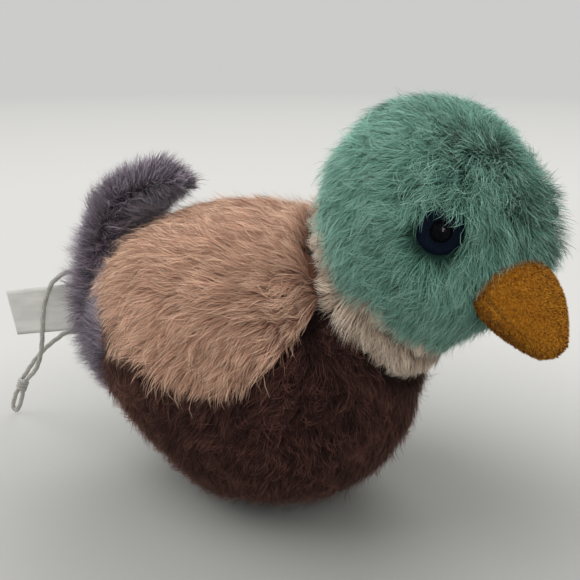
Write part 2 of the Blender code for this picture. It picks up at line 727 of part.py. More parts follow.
bill_matrix = bill_frame()
head_grown = as_cutter(form("head_grown", cutters, head_distance, HEAD_CENTRE, OUTER_CUTS, GAP))
bill_cavity = as_cutter(bill_form("bill_cavity", cutters, CORE_SIDES, CORE_RINGS, BILL_WALL))
bill_seam = BILL_SEAM_SHARE * BILL_THICKNESS / 2
bill_shells = {
    "bill_upper": box("bill_over", (-WIDE, -WIDE, bill_seam + GAP / 2), (WIDE, WIDE, WIDE), bill_matrix),
    "bill_lower": box("bill_under", (-WIDE, -WIDE, -WIDE), (WIDE, WIDE, bill_seam - GAP / 2), bill_matrix),
}
for name, region in bill_shells.items():
    shell = bill_form(name, parts, LOBE_SIDES, LOBE_RINGS, 0.0, OCHRE)
    cut(shell, head_grown)
    cut(shell, bill_cavity)
    keep(shell, region)
bill_stuffing = bill_form("bill_stuffing", parts, CORE_SIDES, CORE_RINGS, BILL_WALL + GAP, FIBRE)
cut(bill_stuffing, head_grown)


# Label: a ribbon doubled over at its far end, with its two ends in the rump seam


def ribbon_label():
    bm = bmesh.new()
    bmesh.ops.create_grid(bm, x_segments=2 * TURN_STEPS, y_segments=1, size=1.0)
    straight = LABEL_LENGTH - LABEL_HALF
    bend = math.pi * LABEL_FOLD
    for vert in bm.verts:
        run = vert.co.x * (straight + bend / 2)
        turn = max(-math.pi / 2, min(math.pi / 2, run / LABEL_FOLD))
        along = straight - max(0.0, abs(run) - bend / 2) + LABEL_FOLD * math.cos(turn)
        vert.co = (along - LABEL_EMBED, LABEL_FOLD * math.sin(turn), vert.co.y * LABEL_WIDTH / 2)
    item = place(bm, "care_label", parts, RIBBON)
    item.matrix_world = label_matrix
    ply = item.modifiers.new("ply", "SOLIDIFY")
    ply.thickness = LABEL_PLY
    ply.offset = 0.0


ribbon_label()


# Hang cord: two strands into a knot, with a small loop past it


def even_points(route, step):
    """Points of a smooth curve through the route, evenly spaced."""
    fine = np.array([along_curve(route, share) for share in np.linspace(0.0, 1.0, 10 * len(route))])
    runs = np.concatenate([[0.0], np.cumsum(np.linalg.norm(np.diff(fine, axis=0), axis=1))])
    stations = np.linspace(0.0, runs[-1], max(3, round(runs[-1] / step)) + 1)
    return np.array([[np.interp(s, runs, fine[:, axis]) for axis in range(3)] for s in stations])


def tube(name, points, collection, material=None):
    curve = bpy.data.curves.new(name, "CURVE")
    curve.dimensions = "3D"
    curve.bevel_depth = CORD_DIAMETER / 2
    curve.bevel_resolution = 2
    curve.use_fill_caps = True
    spline = curve.splines.new("POLY")
    spline.points.add(len(points) - 1)
    for point, co in zip(spline.points, points):
        point.co = (*co, 1.0)
    return mesh_from_curve(name, curve, Matrix(), collection, material)


def cord_knot():
    """A wrapped lump with the cord's loop hanging out of its lower end."""
    top = (np.array(UPPER_STRAND[-1]) + np.array(LOWER_STRAND[-1])) / 2
    end = np.array(KNOT_END)
    down = (end - top) / np.linalg.norm(end - top)
    across = np.cross(down, (0.0, 1.0, 0.0))
    across /= np.linalg.norm(across)
    bm = bmesh.new()
    bmesh.ops.create_uvsphere(bm, u_segments=CORE_SIDES, v_segments=CORE_RINGS, radius=1.0)
    bmesh.ops.scale(bm, vec=(KNOT_RADIUS, KNOT_RADIUS, KNOT_LENGTH / 2), verts=bm.verts[:])
    middle = top + down * (KNOT_LENGTH / 2 + GAP)
    bmesh.ops.transform(bm, matrix=frame_at(middle, down), verts=bm.verts[:])
    knot = place(bm, "cord_knot", parts, TWINE)
    half_spread = LOOP_SPREAD / 2
    bow = [
        end - down * half_spread + across * half_spread * math.cos(turn) + down * half_spread * math.sin(turn)
        for turn in np.linspace(0.0, math.pi, TURN_STEPS // 3)
    ]
    leg = np.linalg.norm(end - np.array(middle)) - half_spread
    legs = [point - down * leg for point in (bow[0], bow[-1])]
    cut(knot, as_cutter(tube("knot_loop", [legs[0], *bow, legs[1]], cutters)), "UNION")


cord_step = CORD_DIAMETER * CORD_STEP_SHARE
tube("hang_cord_upper", even_points(UPPER_STRAND, cord_step), parts, TWINE)
tube("hang_cord_lower", even_points(LOWER_STRAND, cord_step), parts, TWINE)
cord_knot()
bpy.context.view_layer.update()
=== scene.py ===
# %% [markdown]
# # A plush drake, cell by cell
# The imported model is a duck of 28 solids: pile covers, stuffing, bill, eyes, label and cord. This lesson
# dresses it. Each fur cover gets a backing cloth and real strands of pile, combed and clumped as the toy's
# are, and the small parts get cloth, plastic and cotton finishes. Everything is in metres, in the model's
# own frame.

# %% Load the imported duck
import math

import bmesh
import bpy
import numpy as np
from mathutils import Matrix, Vector
from mathutils.bvhtree import BVHTree
from mathutils.kdtree import KDTree


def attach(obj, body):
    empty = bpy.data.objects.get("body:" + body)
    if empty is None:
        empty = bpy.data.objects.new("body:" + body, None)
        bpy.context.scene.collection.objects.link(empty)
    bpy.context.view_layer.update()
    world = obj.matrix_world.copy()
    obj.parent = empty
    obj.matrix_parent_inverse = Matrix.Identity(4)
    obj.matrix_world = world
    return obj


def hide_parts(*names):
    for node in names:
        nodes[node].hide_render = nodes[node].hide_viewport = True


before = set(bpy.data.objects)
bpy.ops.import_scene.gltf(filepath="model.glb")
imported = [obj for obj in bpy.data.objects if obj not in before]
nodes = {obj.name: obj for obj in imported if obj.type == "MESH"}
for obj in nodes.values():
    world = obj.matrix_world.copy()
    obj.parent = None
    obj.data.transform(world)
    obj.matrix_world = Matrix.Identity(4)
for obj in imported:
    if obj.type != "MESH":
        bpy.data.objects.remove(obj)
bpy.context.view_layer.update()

scene = bpy.context.scene

# %% [markdown]
# ## Camera
# The photograph looks at the duck from its right and a little in front, from above. The camera stands 282
# mm from the middle of the duck. A lens of 55.9 mm on a 36 mm sensor gives the photograph's frame, with no
# shift.

# %% Camera
AZIMUTH, ELEVATION = math.radians(26.0), math.radians(17.0)
TARGET = Vector((0.012, 0.0, 0.068))
DISTANCE, LENS = 0.282, 55.86
back = Vector((
    math.sin(AZIMUTH) * math.cos(ELEVATION), -math.cos(AZIMUTH) * math.cos(ELEVATION), math.sin(ELEVATION),
))
camera = bpy.data.objects.new("camera", bpy.data.cameras.new("camera"))
scene.collection.objects.link(camera)
camera.data.sensor_fit = "HORIZONTAL"
camera.data.lens = LENS
camera.location = TARGET + DISTANCE * back
camera.rotation_mode = "QUATERNION"
camera.rotation_quaternion = (-back).to_track_quat("-Z", "Y")
camera.data.clip_start = 0.01
scene.camera = camera
print("camera at", [round(v, 4) for v in camera.location])

# %% [markdown]
# ## Helpers for finishes
# A finish here is a Principled shader whose colour comes from a few nodes. These helpers add nodes and link
# them, so that each finish below reads as a short recipe. The plain ones drift between two colours.

# %% Helpers for finishes
def principled(name, roughness, **uniform):
    """A material, its nodes and its shader; uniform values go straight onto the shader's sockets."""
    material = bpy.data.materials.new(name)
    material.use_nodes = True
    tree = material.node_tree
    shader = tree.nodes["Principled BSDF"]
    shader.inputs["Roughness"].default_value = roughness
    for socket, value in uniform.items():
        shader.inputs[socket.replace("_", " ")].default_value = value
    return material, tree, shader


def node(tree, kind, settings=(), **inputs):
    """Adds a node; an input is a value, or a socket to link from."""
    item = tree.nodes.new("ShaderNode" + kind)
    for key, value in dict(settings).items():
        setattr(item, key, value)
    for key, value in inputs.items():
        socket = item.inputs[int(key[1:]) if key[0] == "i" and key[1:].isdigit() else key.replace("_", " ")]
        if isinstance(value, bpy.types.NodeSocket):
            tree.links.new(value, socket)
        else:
            socket.default_value = value
    return item


def ramp(tree, factor, *stops):
    """A colour ramp through (place, colour) stops, colours in linear light."""
    item = node(tree, "ValToRGB", i0=factor)
    elements = item.color_ramp.elements
    while len(elements) < len(stops):
        elements.new(0.5)
    for element, (place, colour) in zip(elements, stops):
        element.position = place
        element.color = (*colour, 1.0)
    return item.outputs["Color"]


def srgb(*levels):
    """Linear light for a colour read off as 0 to 255."""
    return tuple((v / 255 / 12.92) if v <= 10 else ((v / 255 + 0.055) / 1.055) ** 2.4 for v in levels)


def mottled(name, roughness, dark, pale, noise, lift=None, **uniform):
    """A finish that drifts between two colours with a noise; lift is the strength and height of its bump."""
    material, tree, shader = principled(name, roughness, **uniform)
    cloud = node(tree, "TexNoise", Vector=node(tree, "TexCoord").outputs["Object"], **noise)
    colour = ramp(tree, cloud.outputs["Fac"], (0.3, srgb(*dark)), (0.7, srgb(*pale)))
    tree.links.new(colour, shader.inputs["Base Color"])
    if lift:
        bump = node(tree, "Bump", Strength=lift[0], Distance=lift[1], Height=cloud.outputs["Fac"])
        tree.links.new(bump.outputs["Normal"], shader.inputs["Normal"])
    return material


print("a mid grey:", [round(v, 3) for v in srgb(128, 128, 128)])

# %% [markdown]
# ## The hang cord
# One thin cotton cord leaves the rump seam, runs through a knot and comes back. Its two visible strands are
# free cords that end in the knot. The points repeat the model's routes. The cord is spun from three plies,
# so a tube with three soft lobes that wind round its line shows the real thing.

# %% Cord routes
UPPER_STRAND = (
    (-0.0642, 0.0000, 0.0638), (-0.0735, -0.0020, 0.0639), (-0.0783, -0.0048, 0.0607),
    (-0.0804, -0.0062, 0.0564), (-0.0821, -0.0070, 0.0509), (-0.0830, -0.0074, 0.0441),
    (-0.0860, -0.0060, 0.0332), (-0.0918, -0.0028, 0.0247), (-0.0974, -0.0004, 0.0195),
    (-0.1018, 0.0008, 0.0160),
)
LOWER_STRAND = (
    (-0.0640, 0.0002, 0.0416), (-0.0774, 0.0004, 0.0400), (-0.0835, 0.0004, 0.0365),
    (-0.0893, 0.0006, 0.0320), (-0.0938, 0.0010, 0.0279), (-0.0977, 0.0016, 0.0238),
    (-0.1010, 0.0021, 0.0200), (-0.1034, 0.0022, 0.0170),
)
LOOP_END = Vector((-0.1103, 0.0030, 0.0016))
CORD_WIDTH = 0.0018
CORD_STEP = 0.0004
SPAN_POINTS = 12


def smooth_route(points):
    """Even points on a smooth curve through a route, and the curve's length."""
    p = np.array(points)
    ends = np.vstack([2 * p[0] - p[1], p, 2 * p[-1] - p[-2]])
    fine = []
    for i in range(len(p) - 1):
        a, b, c, d = ends[i:i + 4]
        for t in np.linspace(0.0, 1.0, SPAN_POINTS, endpoint=False):
            bend = (2 * a - 5 * b + 4 * c - d) / 2 + t * (3 * (b - c) + d - a) / 2
            fine.append(b + t * ((c - a) / 2 + t * bend))
    fine = np.array([*fine, p[-1]])
    runs = np.concatenate([[0.0], np.cumsum(np.linalg.norm(np.diff(fine, axis=0), axis=1))])
    stations = np.linspace(0.0, runs[-1], max(4, round(runs[-1] / CORD_STEP)) + 1)
    return np.array([[np.interp(s, runs, fine[:, k]) for k in range(3)] for s in stations]), float(runs[-1])


upper_route, upper_length = smooth_route(UPPER_STRAND)
lower_route, lower_length = smooth_route(LOWER_STRAND)
print("strands are", round(upper_length * 1000, 1), "and", round(lower_length * 1000, 1), "mm long")

# %% [markdown]
# ## Cotton
# Off-white cotton has no gloss and a little sheen from loose fibres. A fine noise makes some fibres darker
# than others, and a low bump lifts them.

# %% Cotton finish
cotton = mottled(
    "cord_cotton_finish", 0.92, (150, 147, 140), (200, 197, 190), dict(Scale=2600.0, Detail=3.0),
    lift=(0.5, 0.0001), Sheen_Weight=0.3, Specular_IOR_Level=0.2,
)
print(cotton.name)

# %% [markdown]
# A twisted strand starts as one circle, pressed into three lobes for its plies. The circle's edge is
# extruded step by step along the route, and each step also turns it a little, so the plies wind round the
# strand.

# %% Twisted strands
PLIES = 3
CIRCLE_SIDES = 15
PLY_PITCH = 0.0052
PLY_DEPTH = 0.16


def finished_object(name, mesh, material):
    """A smooth-shaded object at the origin with its finish."""
    mesh.materials.clear()
    mesh.materials.append(material)
    mesh.shade_smooth()
    item = bpy.data.objects.new(name, mesh)
    scene.collection.objects.link(item)
    return item


def made_object(bm, name, material):
    """Turns a finished bmesh into an object."""
    mesh = bpy.data.meshes.new(name)
    bm.to_mesh(mesh)
    bm.free()
    return finished_object(name, mesh, material)


def unit(vectors):
    return vectors / np.maximum(np.linalg.norm(vectors, axis=-1, keepdims=True), 1e-9)


def station_matrices(route):
    """For each point of a route, the placing of a circle that faces along it, wound by the plies' pitch."""
    ways = unit(np.gradient(route, axis=0))
    sides = unit(np.cross(ways, (0.0, 1.0, 0.0)))
    gaps = np.linalg.norm(np.diff(route, axis=0), axis=1)
    places = []
    for point, way, side, run in zip(route, ways, sides, np.concatenate([[0.0], np.cumsum(gaps)])):
        turned = Matrix((side, np.cross(way, side), way)).transposed().to_4x4()
        winding = Matrix.Rotation(2 * math.pi * run / PLY_PITCH / PLIES, 4, "Z")
        places.append(Matrix.Translation(point) @ turned @ winding)
    return places


def twisted_strand(name, route, material):
    """A three-ply cord along a route, closed at both ends."""
    places = station_matrices(route)
    bm = bmesh.new()
    bmesh.ops.create_circle(bm, cap_ends=True, radius=CORD_WIDTH / 2, segments=CIRCLE_SIDES)
    for vert in bm.verts:
        lobe = math.cos(PLIES * math.atan2(vert.co.y, vert.co.x))
        vert.co *= 1 - PLY_DEPTH * (0.5 - 0.5 * lobe)
    bmesh.ops.transform(bm, matrix=places[0], verts=bm.verts[:])
    edges = bm.edges[:]
    for before, after in zip(places, places[1:]):
        grown = bmesh.ops.extrude_edge_only(bm, edges=edges)["geom"]
        verts = [part for part in grown if isinstance(part, bmesh.types.BMVert)]
        edges = [part for part in grown if isinstance(part, bmesh.types.BMEdge)]
        bmesh.ops.transform(bm, matrix=after @ before.inverted(), verts=verts)
    bmesh.ops.edgeloop_fill(bm, edges=edges)
    bmesh.ops.recalc_face_normals(bm, faces=bm.faces[:])
    return made_object(bm, name, material)


upper_cord = twisted_strand("cord_upper_strand", upper_route, cotton)
lower_cord = twisted_strand("cord_lower_strand", lower_route, cotton)
print("faces:", len(upper_cord.data.polygons), len(lower_cord.data.polygons))

# %% [markdown]
# ## The knot and its loop
# Past the knot the cord turns back on itself in a small loop. The knot is two wraps round the strands: a
# short coil wound tightly over them, with the loop's two legs coming out below.

# %% Knot
WRAPS, WRAP_PITCH, WRAP_POINTS = 3, 0.0017, 12
WRAP_RADIUS = BOW_RADIUS = 0.00135
WRAPS_DOWN, LEGS_DOWN = 0.0002, 0.004
LEG_ROOM, BOW_ROOM = 0.0006, 0.0016
BOW_POINTS = 9


def knot_piece():
    top = (Vector(UPPER_STRAND[-1]) + Vector(LOWER_STRAND[-1])) / 2
    down = (LOOP_END - top).normalized()
    across = down.cross(Vector((0.0, 1.0, 0.0))).normalized()
    deep = down.cross(across)
    coil = []
    for i in range(WRAP_POINTS * WRAPS + 1):
        turn = 2 * math.pi * i / WRAP_POINTS
        along = top + down * WRAPS_DOWN + down * (WRAP_PITCH * i / WRAP_POINTS)
        coil.append(along + WRAP_RADIUS * (math.cos(turn) * across + math.sin(turn) * deep))
    middle = LOOP_END - down * BOW_RADIUS
    root = top + down * LEGS_DOWN
    legs = [
        [root + across * LEG_ROOM * side, (root + middle) / 2 + across * BOW_ROOM * side] for side in (1, -1)
    ]
    bow = [
        middle + BOW_RADIUS * (across * math.cos(t) + down * math.sin(t))
        for t in np.linspace(0.0, math.pi, BOW_POINTS)
    ]
    pieces = []
    for name, points in (("cord_knot_wraps", coil), ("knot_bow", [*legs[0], *bow, *reversed(legs[1])])):
        route, _ = smooth_route([tuple(p) for p in points])
        pieces.append(twisted_strand(name, route, cotton))
    with bpy.context.temp_override(active_object=pieces[0], selected_editable_objects=pieces):
        bpy.ops.object.join()
    return pieces[0]


knot = knot_piece()
for piece in (upper_cord, lower_cord, knot):
    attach(piece, "root")
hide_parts("hang_cord_upper")
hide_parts("hang_cord_lower")
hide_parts("cord_knot")
print("knot faces:", len(knot.data.polygons))

# %% [markdown]
# ## Where the pile grows
# Every fur cover in the model is a solid whose outer side is the mean height of its pile. The cloth that
# the pile is knitted into lies a few millimetres deeper. So each cover's cloth is a copy of the cover with
# its outer side pressed in. A face is on the outer side when nothing stands close in front of it. In a few
# places the duck is slackly filled: there the cover and the stuffing under it are drawn in together.

# %% Find the outer sides
BODY_MIDDLE = Vector((0.0, 0.0, 0.052))
HEAD_MIDDLE = Vector((0.056, 0.0, 0.0945))
NECK_MIDDLE = Vector((0.0435, 0.0, 0.075))
NECK_AXIS = Vector((math.cos(math.radians(34.0)), 0.0, math.sin(math.radians(34.0))))
TAIL_SPINE_SHARES = (
    (-0.75, 0.14), (-0.92, 0.30), (-0.99, 0.48), (-0.97, 0.65), (-0.935, 0.80), (-0.84, 0.925),
    (-0.68, 0.985), (-0.50, 1.0), (-0.38, 0.985),
)
BODY_HALF = (0.0555, 0.047, 0.045)
TAIL_HEIGHT = 0.099
TAIL_SPINE = [Vector((x * BODY_HALF[0], 0.0, z * TAIL_HEIGHT)) for x, z in TAIL_SPINE_SHARES]
HIDDEN_SHARE = 0.92
LEAST_OUTWARD = 0.12
FREE_SPACE = 0.0012
NAPE = 0.013
FLOOR_GAP = 0.0004
SLACK_EDGE, SLACK_HEART = 0.80, 0.97
STILL_CORE, LOOSE_SHELL = 0.024, 0.032
SLACK = {
    "head": (HEAD_MIDDLE, ((0.69, 0.50, 0.53), 0.0065), ((-0.80, -0.19, 0.57), 0.0025)),
    "body": (BODY_MIDDLE, ((-0.54, -0.50, -0.68), 0.0035), ((0.30, -0.20, 0.93), 0.0020)),
}
SLACK["wing"] = SLACK["body"]


def fade(values, low, high):
    t = np.clip((values - low) / (high - low), 0.0, 1.0)
    return t * t * (3 - 2 * t)


def solid_tree():
    """One search tree over every solid of the model."""
    points, faces = [], []
    for item in nodes.values():
        first = len(points)
        points.extend(v.co.copy() for v in item.data.vertices)
        faces.extend([first + i for i in p.vertices] for p in item.data.polygons)
    return BVHTree.FromPolygons(points, faces)


solids = solid_tree()


def middle_of(name, point):
    """The point inside the form that a face of this cover faces away from."""
    if name.startswith("tail"):
        return min(TAIL_SPINE, key=lambda spot: (spot - point).length)
    along = (point - NECK_MIDDLE).dot(NECK_AXIS)
    if name == "neck_ring" or (name.startswith("head") and along < NAPE):
        return NECK_MIDDLE + NECK_AXIS * along
    return HEAD_MIDDLE if name.startswith("head") else BODY_MIDDLE


def in_body(point):
    offset = point - BODY_MIDDLE
    return math.hypot(*(a / half for a, half in zip(offset, BODY_HALF))) < HIDDEN_SHARE


def is_open(face):
    """Whether nothing stands close in front of a face."""
    start = face.calc_center_median() + face.normal * 1e-5
    return solids.ray_cast(start, face.normal, FREE_SPACE)[0] is None


def is_outer(name, face):
    middle = face.calc_center_median()
    if face.normal.dot((middle - middle_of(name, middle)).normalized()) < LEAST_OUTWARD:
        return False
    return not (name.startswith("tail") and in_body(middle)) and is_open(face)


def draw_in(bm, name):
    """Moves the corners of a head, body or wing piece in where the duck is slackly filled."""
    if name[:4] in SLACK:
        middle, *places = SLACK[name[:4]]
        for vert in bm.verts:
            offset = vert.co - middle
            way = offset.normalized()
            near = [fade(way.dot(Vector(aim).normalized()), SLACK_EDGE, SLACK_HEART) for aim, _ in places]
            depth = sum(d * share for (_, d), share in zip(places, near))
            vert.co -= way * depth * fade(offset.length, STILL_CORE, LOOSE_SHELL)


print("search tree is ready")

# %% [markdown]
# ## The backing cloth
# A copy of each cover is welded, its outer corners are pressed in along their normals, and a smoothing pass
# takes the facets' edge off. The cloth gets the dark colour at the root of the pile, painted shade for the
# shade deep in the pile, since only partings show it.

# %% Backing cloth
# The cloth's place on the pile's map, at the dark root: painted shade.
ROOT_TONE = Vector((0.45, 0.03))
ROOT_SPREAD = 0.02


def press_in(bm, outer, depth):
    """Moves the outer corners in by a depth, and gives each one's normal."""
    normals = {}
    for face in outer:
        for vert in face.verts:
            normals[vert] = normals.get(vert, Vector()) + face.normal * face.calc_area()
    for vert, normal in normals.items():
        normal.normalize()
        vert.co -= normal * depth
        vert.co.z = max(vert.co.z, FLOOR_GAP)
    return normals


def welded(name):
    """A bmesh of one of the model's solids, with its doubled corners merged."""
    bm = bmesh.new()
    bm.from_mesh(nodes[name].data)
    bmesh.ops.remove_doubles(bm, verts=bm.verts[:], dist=1e-6)
    bm.normal_update()
    return bm


def stand_in(bm, name, piece_name, material):
    """Makes a stuffed piece that stands for one of the model's solids."""
    item = made_object(bm, piece_name, material)
    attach(item, "root")
    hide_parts(name)
    return item


def as_arrays(outer, normals):
    """The outer triangles' corners and the normals there, for the pile to grow from."""
    corners = np.array([[v.co[:] for v in face.verts] for face in outer])
    return corners, np.array([[normals[v][:] for v in face.verts] for face in outer])


def backing(name, depth, material):
    """A fur cover's cloth, with its outer triangles and their normals."""
    bm = welded(name)
    outer = [face for face in bm.faces if is_outer(name, face)]
    draw_in(bm, name)
    normals = press_in(bm, outer, depth)
    inner = [v for v in normals if not v.is_boundary]
    bmesh.ops.smooth_vert(bm, verts=inner, factor=0.2, use_axis_x=True, use_axis_y=True, use_axis_z=True)
    corners, facing = as_arrays(outer, normals)
    uv = bm.loops.layers.uv.new("OFBake")
    for face in bm.faces:
        for k, loop in enumerate(face.loops):
            loop[uv].uv = ROOT_TONE + ROOT_SPREAD * Vector((math.cos(2.1 * k), math.sin(2.1 * k)))
    return stand_in(bm, name, name + "_cloth", material), corners, facing


# %% [markdown]
# ## Pile colour
# A strand's map coordinate runs from its root at 0 to its tip at 1, and across the map lies its tone: some
# fibres are darker than others, and some patches too. The colour is made from those two numbers alone, so
# it stays with each strand whatever the view. Roots are darkened with painted shade, for the shade deep in
# the pile, and tips are lightened with painted light.

# %% Pile finish
def pile_finish(name, root, middle, tip, dark_tone, pale_tone, glow, sheen=0.45):
    """Fur colour from the strand's own map: tone across, root to tip along."""
    material, tree, shader = principled(name, 0.9, Sheen_Weight=sheen, Specular_IOR_Level=0.06)
    shader.inputs["Sheen Roughness"].default_value = 0.45
    shader.inputs["Sheen Tint"].default_value = (*glow, 1.0)
    place = node(tree, "SeparateXYZ", Vector=node(tree, "UVMap", {"uv_map": "OFBake"}).outputs["UV"])
    # Along the strand the colour is painted light and shade: dark at the root for the shade deep in the pile,
    # pale at the tip.
    along = ramp(tree, place.outputs["Y"], (0.0, root), (0.5, middle), (1.0, tip))
    tone = ramp(tree, place.outputs["X"], (0.0, dark_tone), (0.5, (1.0, 1.0, 1.0)), (1.0, pale_tone))
    mix = node(tree, "Mix", {"data_type": "RGBA", "blend_type": "MULTIPLY", "clamp_result": False}, i0=1.0)
    tree.links.new(along, mix.inputs[6])
    tree.links.new(tone, mix.inputs[7])
    tree.links.new(mix.outputs[2], shader.inputs["Base Color"])
    return material


# In each finish the root colour is painted shade and the tip colour painted light; the tones across are the
# fibres' own.
teal = pile_finish(
    "teal_pile_finish", srgb(30, 60, 50), srgb(115, 166, 149), srgb(166, 204, 191),
    (0.38, 0.43, 0.43), (1.5, 1.42, 1.42), glow=(0.85, 0.95, 0.90),
)
tan = pile_finish(
    "tan_pile_finish", srgb(104, 62, 46), srgb(200, 156, 132), srgb(238, 206, 180),
    (0.42, 0.35, 0.31), (1.35, 1.35, 1.35), glow=(1.0, 0.88, 0.78),
)
brown = pile_finish(
    "brown_pile_finish", srgb(16, 10, 10), srgb(44, 29, 28), srgb(88, 64, 58),
    (0.26, 0.28, 0.30), (3.1, 2.6, 2.4), sheen=0.30, glow=(1.0, 0.62, 0.48),
)
grey = pile_finish(
    "grey_pile_finish", srgb(42, 35, 43), srgb(148, 133, 148), srgb(206, 194, 206),
    (0.38, 0.38, 0.42), (1.45, 1.45, 1.45), glow=(0.95, 0.92, 1.0),
)
cream = pile_finish(
    "cream_pile_finish", srgb(118, 88, 74), srgb(228, 208, 187), srgb(248, 236, 220),
    (0.5, 0.42, 0.38), (1.25, 1.25, 1.25), glow=(1.0, 0.93, 0.86),
)
print("five pile finishes")

# %% [markdown]
# ## Combing
# Brushed pile has a direction everywhere. On the head it comes down and back from the forehead, where it
# stands up in all directions, and round each eye it parts. On the wings it fans out from the shoulder, back
# and down. On the body it hangs. On the tail it stands out, with a lean to the tip. A comb rule gives a
# direction for points with normals, and growing the strands flattens it onto the cloth. A local rule
# changes the strands' length, lift and paleness from place to place; on the body and the ring some of that
# paleness is painted light and shade.

# %% Combing rules
def bearing(yaw, lift):
    yaw, lift = math.radians(yaw), math.radians(lift)
    return np.array([math.cos(lift) * math.cos(yaw), math.cos(lift) * math.sin(yaw), math.sin(lift)])


HEAD_YAW = -29.0
HEAD_REACH, EYE_REACH, TUFT_REACH = 0.036, 0.033, 0.034
TUFT_SIZE, CROWN_SIZE, BILL_LAP = 0.009, 0.027, 0.0045
FOREHEAD = np.array(HEAD_MIDDLE) + HEAD_REACH * bearing(HEAD_YAW + 7.0, 44.0)
NECK_UP = np.array([-NECK_AXIS.z, 0.0, NECK_AXIS.x])
EYE_AXES = {side: bearing(HEAD_YAW + sign * 38.5, 8.0) for side, sign in (("left", 1), ("right", -1))}
EYE_SPOTS = {side: np.array(HEAD_MIDDLE) + EYE_REACH * axis for side, axis in EYE_AXES.items()}
BILL_WAY = bearing(HEAD_YAW, -38.5)


def beside_eye(points, side):
    """How far points lie from an eye's axis, as an offset and as a distance along the axis."""
    offset = points - EYE_SPOTS[side]
    along = offset @ EYE_AXES[side]
    return offset - along[..., None] * EYE_AXES[side], along


def comb_head(points, normals):
    away = unit(points - FOREHEAD) + np.array([-0.35, 0.0, -0.92])
    for side in EYE_SPOTS:
        flat, along = beside_eye(points, side)
        far = np.linalg.norm(flat, axis=1)
        near = np.exp(-((far - 0.006) / 0.0075).clip(0.0) ** 2) * (along > -0.02)
        behind = fade(-unit(flat) @ bearing(HEAD_YAW, 35.0), -0.15, 0.45)
        near = (near * behind)[:, None]
        away = unit(away) * (1 - near) + unit(flat) * near
    return away


def wild_head(points):
    """1 on the forehead, where the pile stands up in all directions, and 0 far from it."""
    return np.exp(-(np.linalg.norm(points - FOREHEAD, axis=1) / 0.024) ** 2)


def round_neck(points):
    """How far points lie along the neck from the ring, and how much they are on its upper, rear side."""
    offset = points - np.array(NECK_MIDDLE)
    along = offset @ np.array(NECK_AXIS)
    return along, unit(offset - along[:, None] * np.array(NECK_AXIS)) @ NECK_UP


TUFTS = ((14.0, -12.0, 1.0), (-4.0, 5.0, 1.9), (7.0, 13.0, 1.7))
CROWN = np.array(HEAD_MIDDLE) + HEAD_REACH * np.array(Vector((0.69, 0.50, 0.53)).normalized())
BILL_CORNERS = [v.co[:] for part in ("bill_upper", "bill_lower") for v in nodes[part].data.vertices]
BILL_SPOTS = np.array(BILL_CORNERS)[::3]


def over_bill(points):
    """1 at the bill's upper edge, where the pile stands high and lies on the bill, and 0 away from it."""
    gap = np.linalg.norm(points[:, None, :] - BILL_SPOTS[None], axis=2).min(1)
    up = (points - BILL_SPOTS.mean(0)) @ bearing(HEAD_YAW, 51.5)
    return np.exp(-(gap / BILL_LAP) ** 2) * fade(up, 0.002, 0.008)


def local_head(points):
    """Longer at the nape, shorter on the crown's far side; it stands up beside the bill and laps its root."""
    along, up = round_neck(points)
    near = np.exp(-((along - 0.004).clip(0.0) / 0.010) ** 2)
    nape, throat = near * fade(up, -0.3, 0.4), near * fade(-up, 0.1, 0.6)
    tuft = 0.0
    for yaw, lift, strength in TUFTS:
        offset = points - np.array(HEAD_MIDDLE) - TUFT_REACH * bearing(yaw, lift)
        tuft += strength * np.exp(-(np.linalg.norm(offset, axis=1) / TUFT_SIZE) ** 2)
    crown = np.exp(-(np.linalg.norm(points - CROWN, axis=1) / CROWN_SIZE) ** 2)
    bill = over_bill(points)
    scale = 1 + 0.45 * nape - 0.22 * throat - 0.32 * crown + 0.15 * tuft + 0.12 * bill
    return scale, 0.12 * nape + 0.35 * tuft - 0.10 * crown + 0.45 * bill, 0.06 * crown


def laps_over(points):
    """Where the ring's cream pile starts on the head's edge, at the cheek and the throat."""
    along, up = round_neck(points)
    return along < 0.0100 + 0.0012 * ripple(points, 0.003, 5) - 0.012 * fade(up, 0.1, 0.6)


def local_ring(points):
    _, up = round_neck(points)
    # The ring is shorter above and below, and darker on its upper, rear side: painted shade under the head's
    # pile.
    scale = 1.12 - 0.42 * fade(up, 0.1, 0.6) - 0.42 * fade(-up, -0.1, 0.45)
    return scale, 0.05 * fade(up, -0.2, 0.3), -0.12 * fade(up, -0.3, 0.3)


def comb_wing(points, normals):
    """Level at the top of the wing, and steeper the lower the pile grows."""
    z = -points[:, 2]
    dip = 14 + 29 * fade(z, -0.098, -0.074) + 13 * fade(z, -0.078, -0.050) + 24 * fade(z, -0.050, -0.030)
    dip -= 22 * fade(-points[:, 0], 0.010, 0.040) * fade(-z, 0.078, 0.092)
    dip = np.radians(dip + 42 * fade(points[:, 0], 0.006, 0.032) * fade(z, -0.085, -0.055))
    guide = np.stack([-np.cos(dip), np.zeros(len(points)), -np.sin(dip)], axis=1)
    top = fade(normals[:, 2], 0.45, 0.85)[:, None]
    return guide * (1 - top) + np.array([-1.0, 0.0, 0.1]) * top


def local_wing(points):
    """By the shoulder the pile stands up against the neck, and along the lower rim it hangs longer."""
    top = fade(points[:, 0], -0.030, 0.015) * fade(points[:, 2], 0.076, 0.092)
    front = fade(points[:, 0], 0.014, 0.030)
    low = fade(-points[:, 2], -0.055, -0.036)
    rear = fade(-points[:, 0], 0.020, 0.045) * fade(points[:, 2], 0.070, 0.088)
    return 1 + 0.20 * low + 0.25 * rear, 0.10 * top + 0.55 * front + 0.12 * low + 0.25 * rear, 0.10 * low


def comb_body(points, normals):
    low = fade(-normals[:, 2], 0.55, 0.95)[:, None]
    return np.array([-0.34, 0.0, -1.0]) * (1 - low) + np.array([-1.0, 0.0, -0.1]) * low


